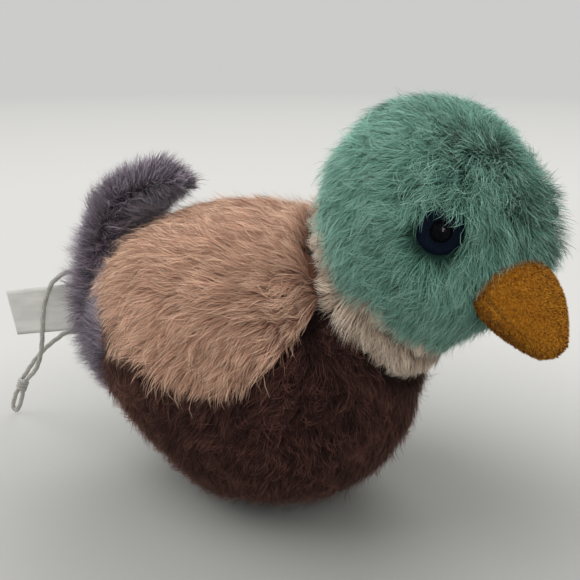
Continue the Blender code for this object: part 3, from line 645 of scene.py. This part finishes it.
def local_body(points):
    """The pile is paler low down at the rear and along the bottom edge: painted light, for the light from the
    left and the floor's bounce.
    """
    rear = fade(-points[:, 0], -0.005, 0.045) * fade(-points[:, 2], -0.075, -0.050)
    return 1.0, 0.0, 0.20 * rear + 0.10 * fade(-points[:, 2], -0.022, -0.008)


def comb_ring(points, normals):
    back = fade(round_neck(points)[1], -0.1, 0.4)[:, None]
    return -np.array(NECK_AXIS) + np.array([0.35, 0.0, -0.55]) + back * np.array([-0.7, 0.0, 0.5])


def local_tail(points):
    """The fluff is longest low on the tail's back, where the ribbon comes out."""
    low = fade(-points[:, 2], -0.072, -0.058) * fade(-points[:, 0], 0.048, 0.058)
    tip = fade(points[:, 0], -0.042, -0.028)
    return 1 + 0.40 * low - 0.25 * tip, 0.25 * low, 0.08 * low


spine = np.array([s[:] for s in TAIL_SPINE])


def comb_tail(points, normals):
    nearest = np.argmin(np.linalg.norm(points[:, None, :] - spine[None], axis=2), axis=1)
    ahead = spine[np.minimum(nearest + 1, len(spine) - 1)] - spine[np.maximum(nearest - 1, 0)]
    return unit(ahead) + np.array([-0.3, 0.0, 0.1])


print("forehead at", FOREHEAD.round(4), "right eye at", EYE_SPOTS["right"].round(4))

# %% [markdown]
# ## Growing the pile
# Plush pile has two heights. Short strands stand close together and carry the roots' painted shade, and
# longer ones lie over them. Both start at random, seeded places on the cloth. Each strand leaves steeply,
# then bends over along the comb. Two rounds of clumping draw neighbours' tips together, finely and then
# into locks, which gives the pile its furrows. A few strays stand out of the locks and soften the outline.
# The centre lines are worked out for all strands of a layer at once.

# %% Strand centre lines
def scatter(corners, facing, per_cm2, rng):
    """Random places on triangles, spread by area, with smooth normals and the whole area."""
    a, b, c = corners[:, 0], corners[:, 1], corners[:, 2]
    areas = np.linalg.norm(np.cross(b - a, c - a), axis=1) / 2
    count = int(areas.sum() * 1e4 * per_cm2)
    pick = rng.choice(len(corners), size=count, p=areas / areas.sum())
    u, v = rng.random(count), rng.random(count)
    flip = u + v > 1
    u[flip], v[flip] = 1 - u[flip], 1 - v[flip]
    weights = np.stack([1 - u - v, u, v], axis=1)[:, :, None]
    return (corners[pick] * weights).sum(1), unit((facing[pick] * weights).sum(1)), areas.sum()


def nearest_of(points, centres):
    """For each point, the index of the nearest centre."""
    tree = KDTree(len(centres))
    for i, centre in enumerate(centres):
        tree.insert(centre, i)
    tree.balance()
    return np.array([tree.find(p)[1] for p in points])


def ripple(points, size, seed):
    """A smooth field of about -1 to 1 that changes over about the given size."""
    rng = np.random.default_rng(seed)
    waves = rng.normal(size=(6, 3)) / size
    phases = rng.random(6) * 2 * math.pi
    return np.sin(points @ waves.T + phases).sum(1) / 2.6


def centre_lines(roots, normals, area, comb, look, rng):
    """Each strand's points from root to tip, its tone, and its share of the full width."""
    count, steps, seed = len(roots), look["steps"], look["seed"]
    wild = look["wild"](roots) if callable(look["wild"]) else np.full(count, look["wild"])
    scale, lift, pale = look["local"](roots)
    guide = comb(roots.copy(), normals)
    lean = unit(guide - (guide * normals).sum(1)[:, None] * normals)
    side = np.cross(normals, lean)
    stray = rng.random(count) < look["strays"]
    length = look["length"] * (1 + look["uneven"] * rng.normal(size=count)).clip(0.45, 1.4)
    length *= scale * (1 + 0.10 * ripple(roots, 0.006, seed + 1)) * (1 - 0.15 * stray)
    turn = look["swirl"] * ripple(roots, 0.010, seed) + look["scatter"] * rng.normal(size=count)
    turn += wild * (1.9 * ripple(roots, 0.0055, seed + 3) + 0.4 * rng.normal(size=count))
    bend = look["curl"] * (1 + wild) * (ripple(roots, 0.0035, seed + 4) + 0.6 * rng.normal(size=count))
    rise0 = look["rise"][0] + 0.14 * rng.normal(size=count) + 0.3 * stray + 0.10 * wild + lift
    rise1 = look["rise"][1] + 0.14 * rng.normal(size=count) + 0.8 * stray * rng.random(count)
    rise1 += 0.15 * wild + lift
    lines = np.empty((steps + 1, count, 3))
    lines[0] = roots
    for k in range(1, steps + 1):
        share = (k - 0.5) / steps
        rise = rise0 + (rise1 - rise0) * share ** 0.7
        angle = turn + bend * (share - 0.3)
        ahead = lean * np.cos(angle)[:, None] + side * np.sin(angle)[:, None]
        way = normals * np.sin(rise)[:, None] + ahead * np.cos(rise)[:, None]
        way[:, 2] -= look["droop"] * share
        lines[k] = lines[k - 1] + unit(way) * (length / steps)[:, None]
    reach = np.linalg.norm(lines - roots, axis=2) * math.cos(look["rise"][1])
    lines -= (reach ** 2 / (2 * look["radius"]))[:, :, None] * normals
    tone = 0.5 + look["pale"] + pale + look["mixed"] * rng.normal(size=count)
    tone += 0.09 * ripple(roots, 0.010, seed + 2)
    for size, pull in look["clumps"]:
        centres = rng.choice(count, min(count // 3, int(area / size ** 2)), replace=False)
        owner = centres[nearest_of(roots, roots[centres])]
        for k in range(1, steps + 1):
            strength = (pull * (k / steps) ** 1.15 * (1 - 0.9 * stray))[:, None]
            lines[k] += strength * (lines[k, owner] - lines[k])
        tone += look["locks"] * rng.normal(size=count)[owner]
    lines[:, :, 2] = np.maximum(lines[:, :, 2], FLOOR_GAP)
    return lines, tone.clip(0.02, 0.98), 1 - 0.4 * stray


print("ready to grow")

# %% [markdown]
# A strand is drawn as a narrow ribbon that tapers to a point, with its flat turned roughly outwards. Bmesh
# would spend minutes on hundreds of thousands of them, so the ribbons are filled in as arrays. Their
# shading normals lean towards the cloth's, which is how a dense pile catches soft light as one surface.

# %% Ribbons
def ribbons(name, lines, normals, tone, girth, look, material, rng):
    """One mesh of tapering ribbons, with its map and its normals."""
    steps, count = lines.shape[0] - 1, lines.shape[1]
    way = unit(np.gradient(lines, axis=0))
    roll = rng.normal(scale=0.8, size=count)
    flat = unit(normals - (normals * way).sum(2)[:, :, None] * way)
    across = np.cross(way, flat)
    turned = across * np.cos(roll)[None, :, None] + flat * np.sin(roll)[None, :, None]
    half = look["width"] / 2 * girth * (1 + 0.2 * rng.normal(size=count)).clip(0.5, 1.6)
    taper = np.array([1.0 - 0.45 * (k / steps) ** 2 for k in range(steps)])
    out = turned[:-1] * (half * taper[:, None])[:, :, None]
    pairs = np.stack([lines[:-1] - out, lines[:-1] + out], axis=2).transpose(1, 0, 2, 3)
    rows = np.concatenate([pairs.reshape(count, 2 * steps, 3), lines[-1][:, None, :]], axis=1)
    per = 2 * steps + 1
    quads = [corner for k in range(steps - 1) for corner in (2 * k, 2 * k + 1, 2 * k + 3, 2 * k + 2)]
    order = np.array([*quads, 2 * steps - 2, 2 * steps - 1, 2 * steps])
    corners = ((np.arange(count) * per)[:, None] + order[None, :]).ravel()
    sizes = np.tile([4] * (steps - 1) + [3], count)
    mesh = bpy.data.meshes.new(name)
    mesh.vertices.add(count * per)
    mesh.vertices.foreach_set("co", rows.astype(np.float32).ravel())
    mesh.loops.add(len(corners))
    mesh.loops.foreach_set("vertex_index", corners.astype(np.int32))
    mesh.polygons.add(len(sizes))
    mesh.polygons.foreach_set("loop_start", np.concatenate([[0], np.cumsum(sizes)[:-1]]).astype(np.int32))
    mesh.update(calc_edges=True)
    v = 0.02 + look["shown"] * np.array([k // 2 / steps for k in range(2 * steps)] + [1.0])
    u = np.array([-0.004, 0.004] * steps + [0.0])
    place = np.stack([tone[:, None] + u[None, :], np.tile(v, (count, 1))], axis=2)
    uv = mesh.uv_layers.new(name="OFBake")
    uv.data.foreach_set("uv", place[:, order].astype(np.float32).ravel())
    item = finished_object(name, mesh, material)
    edge = np.cross(turned.mean(0), way.mean(0))
    edge *= np.sign((edge * normals).sum(1))[:, None]
    shade = unit(0.40 * normals + 0.40 * flat.mean(0) + 0.42 * edge + 0.20 * way.mean(0))
    mesh.normals_split_custom_set_from_vertices(np.repeat(shade, per, axis=0).astype(np.float32))
    return item


def grow(cover, layer, comb, look):
    """Grows one layer of a cover's pile and fixes it to its cloth."""
    cloth, corners, facing, material = cloths[cover]
    rng = np.random.default_rng(look["seed"])
    thin = 1.0
    density = look["per_cm2"] * thin
    roots, normals, area = scatter(corners, facing, density, rng)
    if cover.startswith("head"):
        keep = clear_of_eyes(roots) & ~laps_over(roots)
        roots, normals = roots[keep], normals[keep]
    if cover == "neck_ring":
        for name in ("head_side_right", "head_side_left", "head_gusset"):
            more, more_normals, _ = scatter(*cloths[name][1:3], density, rng)
            keep = laps_over(more)
            roots = np.concatenate([roots, more[keep]])
            normals = np.concatenate([normals, more_normals[keep]])
    lines, tone, girth = centre_lines(roots, normals, area, comb, look, rng)
    if cover.startswith("head"):
        lines, keep = past_the_eyes(lines, rng)
        lines, normals, tone, girth = lines[:, keep], normals[keep], tone[keep], girth[keep]
    look = {**look, "width": look["width"] / thin ** 0.4}
    item = ribbons(cover + "_" + layer, lines, normals, tone, girth, look, material, rng)
    item.parent = cloth
    return item, area


print("ribbons ready")

# %% [markdown]
# ## Strands beside the eyes
# No strand grows under an eye's disc. Most of those that would lie over it are cut, as a maker trims the
# pile round the eyes, and a few wisps are left across its upper part, lifted to lie on it. The far eye,
# which only its edge betrays, is cleared less.

# %% Trim the pile round the eyes
DISC_RADIUS = 0.0062
CLEARED = {"right": 0.0050, "left": 0.0038}


def disc_top(side):
    """How far out along its axis an eye's disc reaches."""
    spot, axis = Vector(EYE_SPOTS[side]), Vector(EYE_AXES[side])
    return max((v.co - spot).dot(axis) for v in nodes["eye_disc_" + side].data.vertices)


DISC_TOPS = {side: disc_top(side) for side in EYE_SPOTS}


def clear_of_eyes(roots):
    keep = np.ones(len(roots), bool)
    for side in EYE_SPOTS:
        flat, along = beside_eye(roots, side)
        keep &= (np.linalg.norm(flat, axis=1) > DISC_RADIUS + 0.0004) | (along < -0.02)
    return keep


def past_the_eyes(lines, rng):
    """Lifts strands that cross a disc, and chooses which ones stay."""
    keep = np.ones(lines.shape[1], bool)
    for side in EYE_SPOTS:
        flat, along = beside_eye(lines, side)
        out = np.linalg.norm(flat, axis=2)
        over = (out < CLEARED[side]) & (along > DISC_TOPS[side] - 0.005)
        high = flat @ bearing(HEAD_YAW, 60.0) > 0.0008
        chance = np.where((over & ~high).any(0), 0.02, 0.75)
        keep &= ~over.any(0) | (rng.random(lines.shape[1]) < chance)
        near = (out < DISC_RADIUS) & (along > DISC_TOPS[side] - 0.005)
        lift = (DISC_TOPS[side] + 0.0005 - along).clip(0.0, 0.005)
        lines = lines + np.where(near, lift, 0.0)[:, :, None] * EYE_AXES[side]
    return lines, keep


print("disc tops at", {side: round(top * 1000, 2) for side, top in DISC_TOPS.items()}, "mm")

# %% [markdown]
# ## Fur covers
# Each cover's look is a few numbers: how long its strands are, how steeply they leave and lie, how much
# they swirl and scatter, how strongly they clump, and how many strays there are. The head's pile is soft
# and swirls, the wings' is long and lies flat in streaks, the tail's stands out. The short layer shows only
# the lower part of the colour, so it stays darker with the roots' painted shade.

# %% Looks of the pile
def same_all_over(points):
    return 1.0, 0.0, 0.0


LONG = dict(
    steps=3, per_cm2=380, width=0.00012, shown=0.96, uneven=0.20, strays=0.18, wild=0.0, droop=0.10, curl=0.6,
    pale=0.0, locks=0.13, mixed=0.20, local=same_all_over,
)
# The short layer's colour stops at 0.60 of the ramp, in the painted shade of the roots.
SHORT = dict(
    steps=2, per_cm2=420, width=0.00015, shown=0.60, uneven=0.20, strays=0.0, wild=0.0, droop=0.04, curl=0.4,
    pale=0.0, locks=0.08, mixed=0.15, local=same_all_over,
)
WISPS = dict(
    steps=4, per_cm2=70, width=0.00013, shown=0.96, uneven=0.15, strays=0.1, wild=0.3, droop=0.08, curl=1.5,
    pale=0.36, locks=0.08, mixed=0.12, local=same_all_over,
)


def layers(shared, long, short, wisps=None):
    """A cover's looks: each layer's base, what its layers share, and what is its own."""
    looks = {"long": {**LONG, **shared, **long}, "short": {**SHORT, **shared, **short}}
    if wisps:
        looks["wisps"] = {**WISPS, **shared, **wisps}
    return looks


FINE = ((0.0009, 0.40),)
HEAD = layers(
    dict(radius=0.034, swirl=0.40, local=local_head),
    dict(length=0.0096, rise=(0.95, 0.20), scatter=0.40, curl=0.9, wild=wild_head,
         clumps=((0.0008, 0.40), (0.0026, 0.34)), locks=0.20, mixed=0.28),
    dict(length=0.0066, rise=(1.10, 0.45), scatter=0.55, wild=wild_head, clumps=FINE),
    dict(length=0.0106, rise=(1.00, 0.24), scatter=0.35, width=0.00011, pale=0.30, clumps=((0.0020, 0.80),)),
)
WING = layers(
    dict(radius=0.048, swirl=0.16, local=local_wing),
    dict(length=0.0106, rise=(0.76, 0.07), swirl=0.20, scatter=0.25, curl=0.9,
         clumps=((0.0008, 0.45), (0.0030, 0.56)), locks=0.18, mixed=0.24),
    dict(length=0.0074, rise=(0.95, 0.28), scatter=0.34, clumps=FINE),
    dict(length=0.0122, rise=(0.80, 0.12), scatter=0.22, curl=0.9, wild=0.1, clumps=((0.0018, 0.75),)),
)
BODY = layers(
    dict(radius=0.048, swirl=0.50, local=local_body),
    dict(length=0.0096, rise=(0.74, 0.08), scatter=0.32, droop=0.15, curl=0.8,
         clumps=((0.0008, 0.42), (0.0030, 0.48)), locks=0.20, mixed=0.26),
    dict(length=0.0066, rise=(0.98, 0.33), scatter=0.45, clumps=FINE),
    dict(length=0.0104, rise=(0.80, 0.16), swirl=0.60, scatter=0.40, width=0.00014, clumps=((0.0020, 0.70),),
         per_cm2=90),
)
TAIL = layers(
    dict(radius=0.030, swirl=0.9, wild=0.5, local=local_tail),
    dict(length=0.0100, rise=(1.20, 0.66), scatter=0.55, curl=1.2, droop=0.0,
         clumps=((0.0009, 0.45), (0.0026, 0.30))),
    dict(length=0.0066, rise=(1.25, 0.80), scatter=0.7, clumps=FINE),
)
RING = layers(
    dict(radius=0.032, swirl=0.40, local=local_ring),
    dict(length=0.0102, rise=(0.85, 0.15), scatter=0.34, curl=0.8, droop=0.15,
         clumps=((0.0008, 0.45), (0.0032, 0.62))),
    dict(length=0.0066, rise=(1.00, 0.35), scatter=0.45, clumps=FINE),
)
print("looks for head, wing, body, tail and ring")

# %% Cloth for each cover
FAMILIES = {
    "head": (0.0036, teal, "teal_pile", comb_head, HEAD),
    "neck": (0.0032, cream, "cream_pile", comb_ring, RING),
    "wing": (0.0040, tan, "tan_pile", comb_wing, WING),
    "body": (0.0036, brown, "brown_pile", comb_body, BODY),
    "belly": (0.0030, brown, "brown_pile", comb_body, BODY),
    "tail": (0.0040, grey, "grey_pile", comb_tail, TAIL),
}
COVERS = (
    "head_side_right", "head_side_left", "head_gusset", "neck_ring", "wing_right", "wing_left",
    "body_side_right", "body_side_left", "belly_panel", "tail_right", "tail_left",
)
cloths = {}
for name in COVERS:
    depth, material, slot, *_ = FAMILIES[name.split("_")[0]]
    cloths[name] = (*backing(name, depth, material), material)
print(len(cloths), "cloths")

# %% Grow the pile of each cover
LAYER_SEEDS = {"long": 11, "short": 61, "wisps": 101}
fur_triangles = 0
for number, name in enumerate(COVERS):
    *_, slot, comb, looks = FAMILIES[name.split("_")[0]]
    for layer, look in looks.items():
        look = dict(look, seed=LAYER_SEEDS[layer] + number)
        if name == "belly_panel":
            look.update(length=0.6 * look["length"], per_cm2=0.6 * look["per_cm2"])
        strands, area = grow(name, layer + "_pile", comb, look)
        triangles = len(strands.data.loops) - 2 * len(strands.data.polygons)
        fur_triangles += triangles
        print(name, layer, round(area * 1e4, 1), "cm2", triangles, "triangles")
print("triangles of fur:", fur_triangles)

# %% [markdown]
# ## The bill
# Two velour panels round a little stuffing, sewn along the sides. Velour is a very short, dense pile, so
# from here it reads as a felted surface: grainy, matte, lighter at its tips with painted light. The model's
# shells have the right form, so they are drawn in a little and get a coat of half-millimetre fibres.

# %% Velour finish
def velour_finish():
    material, tree, shader = principled(
        "ochre_velour_finish", 0.9, Sheen_Weight=0.25, Specular_IOR_Level=0.08,
    )
    shader.inputs["Sheen Roughness"].default_value = 0.5
    shader.inputs["Sheen Tint"].default_value = (1.0, 0.8, 0.5, 1.0)
    place = node(tree, "TexCoord").outputs["Object"]
    grain = node(tree, "TexNoise", Vector=place, Scale=1300.0, Detail=4.0, Roughness=0.7)
    patches = node(tree, "TexNoise", Vector=place, Scale=260.0, Detail=2.0)
    share = node(tree, "Math", {"operation": "MULTIPLY"}, i0=patches.outputs["Fac"], i1=0.25)
    both = node(tree, "Math", {"operation": "MULTIPLY_ADD"}, i0=grain.outputs["Fac"], i1=0.75)
    tree.links.new(share.outputs[0], both.inputs[2])
    stops = (0.36, srgb(112, 62, 8)), (0.5, srgb(182, 116, 28)), (0.64, srgb(222, 158, 56))
    colour = ramp(tree, both.outputs[0], *stops)
    tree.links.new(colour, shader.inputs["Base Color"])
    bump = node(tree, "Bump", Strength=0.9, Distance=0.0002, Height=grain.outputs["Fac"])
    tree.links.new(bump.outputs["Normal"], shader.inputs["Normal"])
    return material


ochre = velour_finish()
# The fibres' root colour is painted shade and their tip colour painted light, as on the pile.
fibre_ochre = pile_finish(
    "ochre_fibre_finish", srgb(124, 72, 12), srgb(182, 118, 30), srgb(226, 164, 66),
    (0.45, 0.42, 0.4), (1.28, 1.26, 1.24), sheen=0.1, glow=(1.0, 0.8, 0.5),
)
print(ochre.name, fibre_ochre.name)

# %% Velour panels
BILL_PRESS = 0.0003


def bill_panel(name):
    """The model's bill shell, pressed in for its fibres, with its outer triangles and their normals."""
    bm = welded(name)
    outer = [face for face in bm.faces if is_open(face)]
    corners, facing = as_arrays(outer, press_in(bm, outer, BILL_PRESS))
    return stand_in(bm, name, name + "_velour", ochre), corners, facing


def comb_bill(points, normals):
    return np.tile(BILL_WAY, (len(points), 1))


VELOUR = dict(
    steps=2, per_cm2=2400, width=0.00013, shown=0.96, swirl=0.5, scatter=0.9, curl=0.6, strays=0.0, wild=0.0,
    length=0.0008, uneven=0.25, rise=(1.3, 0.9), droop=0.0, radius=0.02, clumps=((0.0006, 0.35),), pale=0.0,
    locks=0.05, mixed=0.12, local=same_all_over,
)
for node_name, seed in (("bill_upper", 31), ("bill_lower", 32)):
    cloths[node_name] = (*bill_panel(node_name), fibre_ochre)
    strands, area = grow(node_name, "fibres", comb_bill, dict(VELOUR, seed=seed))
    print(node_name, round(area * 1e4, 1), "cm2", len(strands.data.polygons), "faces")

# %% [markdown]
# ## The eyes
# A polished black bead sits on a satin navy disc. Both are moulded plastic. The model's solids have the
# right shape, so they stay and get finishes: a deep gloss for the bead, and a fine grain with a soft edge
# for the disc.

# %% Eye finishes
bead_finish = mottled(
    "black_bead_finish", 0.12, (4, 4, 6), (10, 10, 13), dict(Scale=700.0), Specular_IOR_Level=0.04,
)
disc_finish = mottled(
    "navy_disc_finish", 0.8, (5, 11, 22), (12, 23, 38), dict(Scale=1800.0, Detail=3.0), lift=(0.25, 0.0001),
    Specular_IOR_Level=0.05,
)


def set_finish(name, material):
    mesh = nodes[name].data
    mesh.materials.clear()
    mesh.materials.append(material)


for side in ("left", "right"):
    set_finish("eye_bead_" + side, bead_finish)
    set_finish("eye_disc_" + side, disc_finish)
print("eyes finished")

# %% [markdown]
# ## The ribbon label
# A woven satin ribbon, doubled over at its far end, with both its ends sewn into the rump seam. It is 17 mm
# wide and stays bare. It is a cut sheet of cloth, so it is built flat and folded: a grid bent round the
# fold, with a slight bow, and the thickness of a ribbon.

# %% Ribbon finish
def ribbon_finish():
    """Satin ribbon: a fine weave from two crossed waves, along and across the ribbon's own map."""
    material, tree, shader = principled(
        "label_ribbon_finish", 0.55, Sheen_Weight=0.2, Specular_IOR_Level=0.35,
    )
    place = node(tree, "UVMap", {"uv_map": "OFBake"}).outputs["UV"]
    apart = node(tree, "SeparateXYZ", Vector=place)
    waves = []
    for axis, threads in (("Y", 420.0), ("X", 1500.0)):
        phase = node(tree, "Math", {"operation": "MULTIPLY"}, i0=apart.outputs[axis], i1=threads)
        waves.append(node(tree, "Math", {"operation": "SINE"}, i0=phase.outputs[0]).outputs[0])
    weave = node(tree, "Math", {"operation": "MULTIPLY"}, i0=waves[0], i1=waves[1])
    cloud = node(tree, "TexNoise", Vector=place, Scale=6.0)
    colour = ramp(tree, cloud.outputs["Fac"], (0.35, srgb(214, 211, 206)), (0.65, srgb(230, 227, 222)))
    tree.links.new(colour, shader.inputs["Base Color"])
    bump = node(tree, "Bump", Strength=0.3, Distance=0.00005, Height=weave.outputs[0])
    tree.links.new(bump.outputs["Normal"], shader.inputs["Normal"])
    return material


# %% Fold the ribbon
RIBBON_WIDTH, RIBBON_REACH, RIBBON_HALF_FOLD = 0.0168, 0.0376, 0.0006
RIBBON_ROOT, RIBBON_EMBED = Vector((-0.0650, 0.0, 0.0521)), 0.0045
RIBBON_TILT, RIBBON_SWING = math.radians(9.0), math.radians(14.0)
RIBBON_STRAIGHT = RIBBON_REACH - 0.0008
RIBBON_THICKNESS = 0.00022


def folded_ribbon():
    bm = bmesh.new()
    bmesh.ops.create_grid(bm, x_segments=96, y_segments=12, size=1.0)
    uv = bm.loops.layers.uv.new("OFBake")
    for face in bm.faces:
        for loop in face.loops:
            loop[uv].uv = (0.5 + 0.48 * loop.vert.co.x, 0.5 + 0.48 * loop.vert.co.y)
    bend = math.pi * RIBBON_HALF_FOLD
    turned = Matrix.Rotation(RIBBON_SWING, 4, "Z") @ Matrix.Rotation(math.pi - RIBBON_TILT, 4, "Y")
    place = Matrix.Translation(RIBBON_ROOT) @ turned
    for vert in bm.verts:
        run, across = vert.co.x * (RIBBON_STRAIGHT + bend / 2), vert.co.y * RIBBON_WIDTH / 2
        turn = max(-math.pi / 2, min(math.pi / 2, run / RIBBON_HALF_FOLD))
        along = RIBBON_STRAIGHT - max(0.0, abs(run) - bend / 2) + RIBBON_HALF_FOLD * math.cos(turn)
        share = along / RIBBON_STRAIGHT
        plump = 0.7 + 0.6 * math.sin(math.pi * min(1.0, share)) ** 2
        middle = 1 - (across / RIBBON_WIDTH * 2) ** 2 * 0.5
        bow = 0.0009 * math.sin(math.pi * share) * middle + 0.0006 * share * across / RIBBON_WIDTH
        out = RIBBON_HALF_FOLD * math.sin(turn) * plump + bow
        vert.co = place @ Vector((along - RIBBON_EMBED, out, across))
    bmesh.ops.recalc_face_normals(bm, faces=bm.faces[:])
    item = made_object(bm, "ribbon_label", ribbon_finish())
    ply = item.modifiers.new("ply", "SOLIDIFY")
    ply.thickness = RIBBON_THICKNESS
    ply.offset = 0.0
    return item


ribbon = folded_ribbon()
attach(ribbon, "root")
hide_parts("care_label")

# %% [markdown]
# ## Inside
# The fibre, the pellet bag and the washers don't show, but they are pieces of the toy, so they get finishes
# too. The head's and the body's stuffing is drawn in with the covers round it.

# %% Fibre, calico and plain plastic
def calico_finish():
    material, tree, shader = principled("pellet_bag_finish", 0.9)
    place = node(tree, "TexCoord").outputs["Object"]
    weave = node(tree, "TexChecker", Vector=place, Scale=1600.0)
    weave.inputs["Color1"].default_value = (*srgb(206, 196, 176), 1.0)
    weave.inputs["Color2"].default_value = (*srgb(190, 180, 158), 1.0)
    tree.links.new(weave.outputs["Color"], shader.inputs["Base Color"])
    return material


CLOUDS = dict(Detail=5.0, Distortion=0.8)
fibre = mottled(
    "stuffing_fibre_finish", 0.95, (208, 208, 204), (244, 244, 240), dict(CLOUDS, Scale=400.0),
    Sheen_Weight=0.5,
)
washer = mottled("washer_finish", 0.4, (196, 196, 192), (212, 212, 208), dict(CLOUDS, Scale=300.0))
calico = calico_finish()


def drawn_in_stuffing(name):
    bm = bmesh.new()
    bm.from_mesh(nodes[name].data)
    draw_in(bm, name)
    stand_in(bm, name, name + "_fibre", fibre)


for name in nodes:
    if name in ("head_stuffing", "body_stuffing"):
        drawn_in_stuffing(name)
    elif name.endswith("stuffing"):
        set_finish(name, fibre)
    elif name == "pellet_bag":
        set_finish(name, calico)
    elif name.startswith("eye_washer"):
        set_finish(name, washer)
print("inside finished")

# %% [markdown]
# ## Studio
# A pale floor that curves up all round, far away, so that no horizon shows. Near the duck the floor is lit
# and holds its shadow. Farther off, and only as seen by the camera, by a mirror or through glass, it glows a
# pale grey of its own, paler nearer the duck and greyer far away: painted light, which also fades the
# duck's shadow out at a set distance from a point beside it. The light is soft: a key from high on the
# left, a fill from the camera's side, a rim from behind, and a pale world.

# %% Floor
LIT_MIDDLE, LIT_RADIUS, PALE_RADIUS = (0.02, -0.01, 0.0), 0.045, 0.22
GREY_FROM, GREY_TO = 0.6, 1.6
FLOOR_HALF, FLAT_RADIUS, RIM_RISE = 5.0, 2.5, 0.45


def floor_finish():
    material, tree, shader = principled("studio_floor_finish", 0.9, Specular_IOR_Level=0.1)
    shader.inputs["Base Color"].default_value = (*srgb(169, 169, 166), 1.0)
    place = node(tree, "TexCoord").outputs["Object"]
    # Beyond LIT_RADIUS from LIT_MIDDLE the painted glow takes over from the lit floor, so the shadow fades
    # out by PALE_RADIUS.
    far = node(tree, "VectorMath", {"operation": "DISTANCE"}, i0=place, i1=LIT_MIDDLE)
    share = node(tree, "MapRange", {"interpolation_type": "SMOOTHSTEP"}, Value=far.outputs["Value"])
    share.inputs["From Min"].default_value = LIT_RADIUS
    share.inputs["From Max"].default_value = PALE_RADIUS
    rays = node(tree, "LightPath").outputs
    seen = node(tree, "Math", {"operation": "MAXIMUM"}, i0=rays["Is Camera Ray"], i1=rays["Is Glossy Ray"])
    seen = node(tree, "Math", {"operation": "MAXIMUM"}, i0=seen.outputs[0], i1=rays["Is Transmission Ray"])
    both = node(tree, "Math", {"operation": "MULTIPLY"}, i0=share.outputs["Result"], i1=seen.outputs[0])
    away = node(tree, "MapRange", Value=far.outputs["Value"])
    away.inputs["From Min"].default_value = GREY_FROM
    away.inputs["From Max"].default_value = GREY_TO
    # The glow is paler near and greyer far off: painted falloff of light.
    grey = ramp(tree, away.outputs["Result"], (0.0, srgb(227, 226, 222)), (1.0, srgb(204, 204, 202)))
    pale = node(tree, "Emission", Color=grey, Strength=1.0)
    mix = node(tree, "MixShader", i0=both.outputs[0], i1=shader.outputs["BSDF"], i2=pale.outputs["Emission"])
    tree.links.new(mix.outputs["Shader"], tree.nodes["Material Output"].inputs["Surface"])
    return material


def studio_floor():
    bm = bmesh.new()
    bmesh.ops.create_grid(bm, x_segments=60, y_segments=60, size=FLOOR_HALF)
    for vert in bm.verts:
        vert.co.z = RIM_RISE * max(0.0, vert.co.xy.length - FLAT_RADIUS) ** 2
    return made_object(bm, "studio_floor", floor_finish())


studio_floor()


def lamp(name, place, size, watts):
    light = bpy.data.lights.new(name, "AREA")
    light.shape = "DISK"
    light.size = size
    light.energy = watts
    item = bpy.data.objects.new(name, light)
    scene.collection.objects.link(item)
    item.location = place
    item.rotation_mode = "QUATERNION"
    item.rotation_quaternion = (Vector((0.0, 0.0, 0.06)) - Vector(place)).to_track_quat("-Z", "Y")
    return item


lamp("key", (-1.0, -0.45, 1.25), 1.6, 16.0)
lamp("fill", (0.9, -1.1, 0.7), 1.2, 6.0)
lamp("rim", (-0.3, 1.1, 0.9), 1.0, 7.0)
spark = lamp("catchlight", (0.56, -0.72, 0.42), 0.08, 3.0)
spark.visible_diffuse = False
world = bpy.data.worlds.new("studio_world")
scene.world = world
world.use_nodes = True
world.node_tree.nodes["Background"].inputs["Color"].default_value = (*srgb(222, 223, 222), 1.0)
world.node_tree.nodes["Background"].inputs["Strength"].default_value = 1.15
scene.view_settings.view_transform = "Standard"
print("studio lit")
